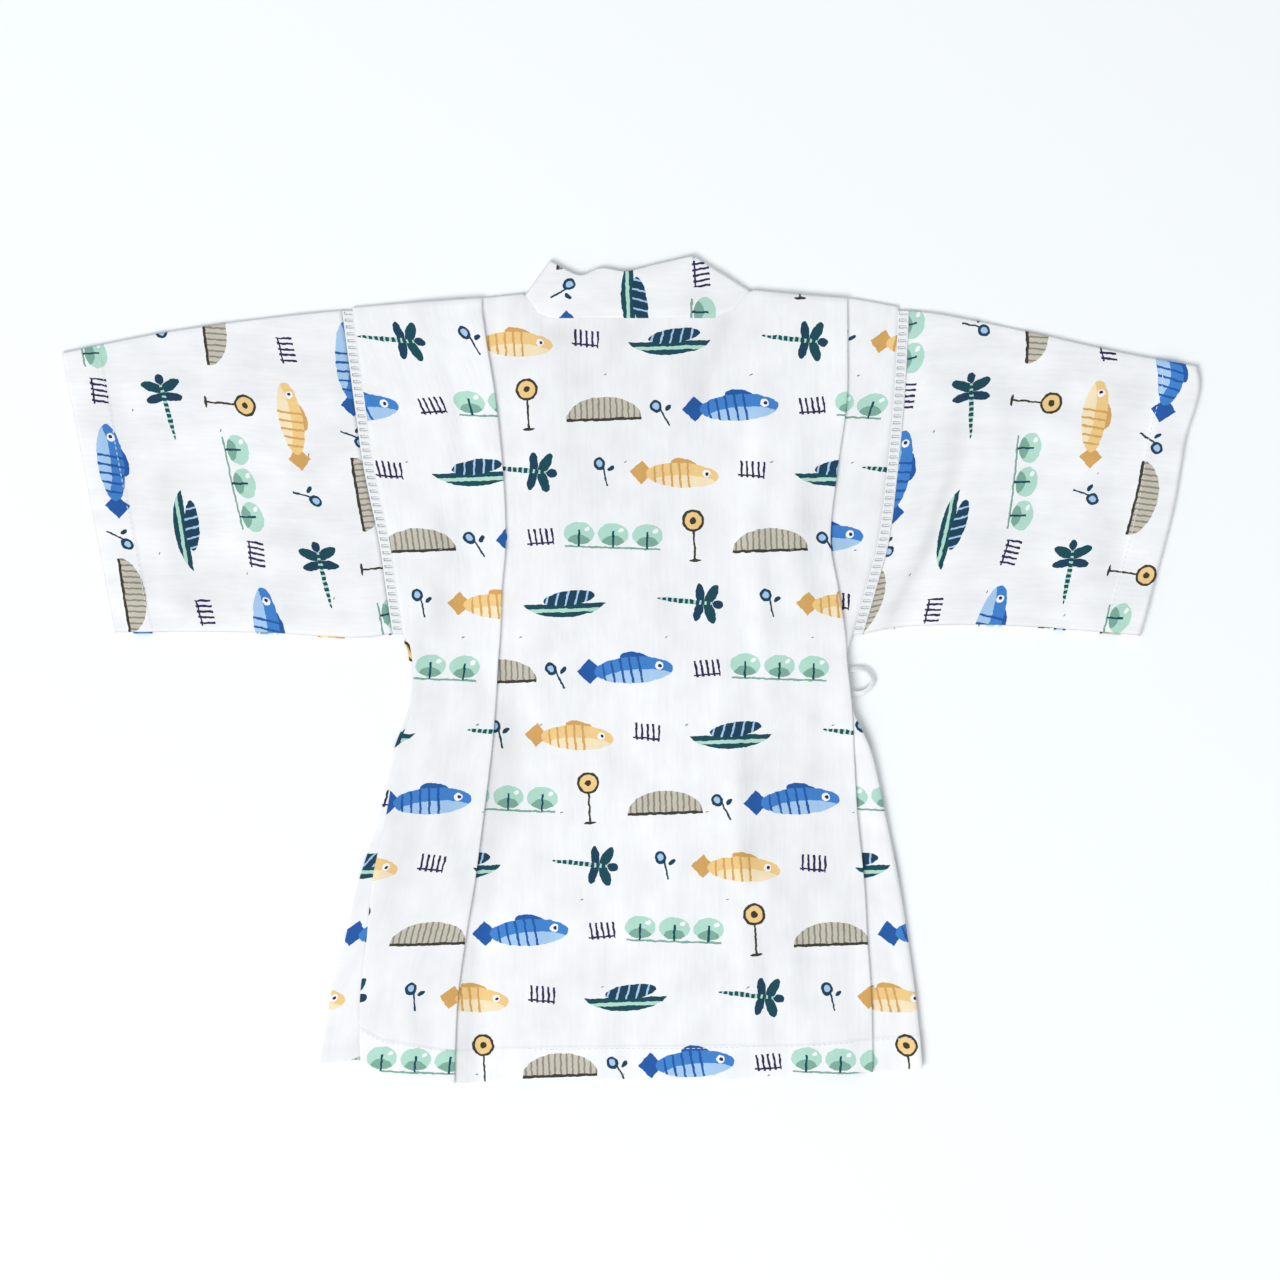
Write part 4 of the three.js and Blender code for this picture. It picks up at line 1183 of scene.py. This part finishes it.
def make_collar():
    """The folded strip, standing up behind the neck with a little air in it."""
    middle, facing = collar_surface()
    band = folded_band(middle, facing, COLLAR_APART)
    columns = band.shape[1]
    along = line_lengths(middle[:, 5]) + COLLAR_CUT_FROM
    width = np.linspace(0, 2 * COLLAR_WIDE, columns)
    cut = np.stack(np.broadcast_arrays(-width[None, :], along[:, None]), axis=2)
    behind = facing[:, 2] > 0.5
    deep = band[behind, :, 1] - NECK[2][1]
    deep[:, columns // 2:] = 2 * COLLAR_WIDE - deep[:, columns // 2:]
    cut[behind] = np.stack([-deep, band[behind, :, 0] - NECK_LEFT[0] + along[behind][0]], axis=2)
    puff = 0.5 * soft_noise(band[:, :, 0], band[:, :, 1], 12, 14, 3.5) + 0.2
    from_seam = smooth(np.minimum(np.arange(columns), np.arange(columns)[::-1]) / 3)
    band[:, :, 2] += behind[:, None] * (puff * from_seam - COLLAR_DIP * (1 - from_seam))
    collar = shell("collar_cloth", band, cut, print_cotton, thickness=COLLAR_SHELL)
    declare(collar, ["collar"], "print_cotton")
    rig.sheet(collar, flat=(2 * COLLAR_WIDE * MM, 0.72), held="folded", rests_on=["floor"], area=0.0375)


# Sleeves and ladder tapes

# Where each sleeve was cut from the print, and the start of its noise
SLEEVE_CUT_FROM = {"left": 90, "right": 150}
SLEEVE_SEED = {"left": 11.5, "right": 17.5}


def armhole(side, outward, beyond):
    """Line beside the armhole seam, by share of its height from the top."""
    def at(f):
        y = lerp(ARMHOLE_TOP, ARMHOLE_BOTTOM, f)
        return np.array([body(side, y) + outward * beyond, y])
    return at


def make_sleeve(side, outward):
    """A sleeve with its creases, double cuff and wavy mouth, and the line of its cuff stitches."""
    start = armhole(side, outward, 2 * GAP + LADDER_WIDE)
    shape, seed = SLEEVES[side], SLEEVE_SEED[side]
    fold = through([start(0), *shape["fold"]])
    closed = through([start(1), *shape["closed"]])
    hem_share = 1 - CUFF_HEM_DEEP / SLEEVE_DEEP
    shares = np.concatenate([np.linspace(0, hem_share - 0.012, 58),
                             hem_share + np.array([-0.005, -0.002, 0.001, 0.004, 0.01]),
                             np.linspace(hem_share + 0.02, 1, 9)])
    ring, around = tube_surface(
        start, through(shape["cuff"]), fold, closed, shares, SLEEVE_STEPS,
        lambda s, f: SLEEVE_PUFF * math.sin(math.pi * f) * math.sin(math.pi * s) ** 0.7)
    x, y = ring[:, :, 0], ring[:, :, 1]
    upper = in_upper_layer(ring)
    rough = SLEEVE_RAISED * creases(x, y, SLEEVE_CREASES[side])
    rough += 0.35 * soft_noise(x, y, 40, 40, seed)
    rough += 0.1 * soft_noise(x, y, 60, 9, seed)
    off_seam = smooth(shares / SLEEVE_CALM)[:, None]
    ring[:, :, 2] += upper * np.maximum(rough + SLEEVE_LIFT, -SLEEVE_SINK) * off_seam
    at_cuff = smooth((shares - hem_share) / 0.006)[:, None]
    ring[:, :, 2] += upper * HEM_PROUD * at_cuff
    mouth = np.maximum(soft_noise(y, y * 0, 18, 18, seed + 2), 0)
    ring[:, :, 2] += upper * MOUTH_WAVE * mouth * smooth((shares - 0.9) / 0.1)[:, None]
    from_armhole = outward * np.broadcast_to(shares[:, None] * SLEEVE_CUT_DEEP, around.shape)
    cut = np.stack([around + SLEEVE_CUT_FROM[side], from_armhole], axis=2)
    # Painted shade of the sleeve's creases, and painted light on its double cuff
    layers = creases(x, y, SLEEVE_PAINTED_LIGHT_SHADE[side]) + CUFF_PAINTED_LIGHT * at_cuff
    made = shell(f"sleeve_{side}_cloth", ring, cut, print_cotton, layers=layers)
    declare(made, [f"sleeve_{side}"], "print_cotton")
    row = int(np.argmin(abs(shares - (hem_share + 0.012))))
    return made, ring[row, 2:SLEEVE_STEPS - 2] + (0, 0, SHELL / 2)


def make_ladder(side, outward):
    """Openwork tape all round an armhole, its lower rungs under the upper ones."""
    near = armhole(side, outward, 0.1)
    far = armhole(side, outward, 2 * GAP + LADDER_WIDE - 0.1)
    count = SLOT_FACES * int(SLOT_RUN / SLOT_PITCH) + 1
    lower = count + TURN_POINTS
    tape, around = tube_surface(
        near, far, lambda s: lerp(near(0), far(0), s), lambda s: lerp(near(1), far(1), s),
        [0, SLOT_FROM, 0.5, 1 - SLOT_FROM, 1], count, lambda s, f: 0)

    def solid_there(i, j):
        k = j if j < lower else j - lower
        edge = i in (0, 3) or count - 2 < j < lower or k > count - 2
        return edge or k % SLOT_FACES < SLOT_FACES - OPEN_FACES

    cut = np.stack(np.broadcast_arrays(around, np.array([0, 1, 3, 5, 6.0])[:, None]), axis=2)
    tape[:, :, 2] += np.where(tape[:, :, 2] > UPPER_FROM, 0.05, 0.65)
    made = shell(f"ladder_{side}_tape", tape, cut, white_tape, thickness=TAPE_SHELL, keep=solid_there)
    declare(made, [f"ladder_{side}"], "white_tape")
    return made


hem_stitches = make_back()
make_fronts()
make_collar()
cuff_stitches = []
for side, outward in (("left", -1), ("right", 1)):
    sleeve, stitches = make_sleeve(side, outward)
    cuff_stitches.append(stitches)
    ladder = make_ladder(side, outward)
    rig.sheet(sleeve, flat=(0.365, 0.165), held="laid", rests_on=["floor"], area=0.0515,
             with_pieces=[ladder])

# Stitching

thread = closed_tubes("stitching", [stitch for line in cuff_stitches + hem_stitches
                                    for stitch in stitch_tubes(line)], white_tape)
declare(thread, [], "white_tape")

low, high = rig.bounds()
with open("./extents.json", "w") as file:
    json.dump({"cad": [list(cad_low), list(cad_high)], "visual": [list(low), list(high)]}, file)
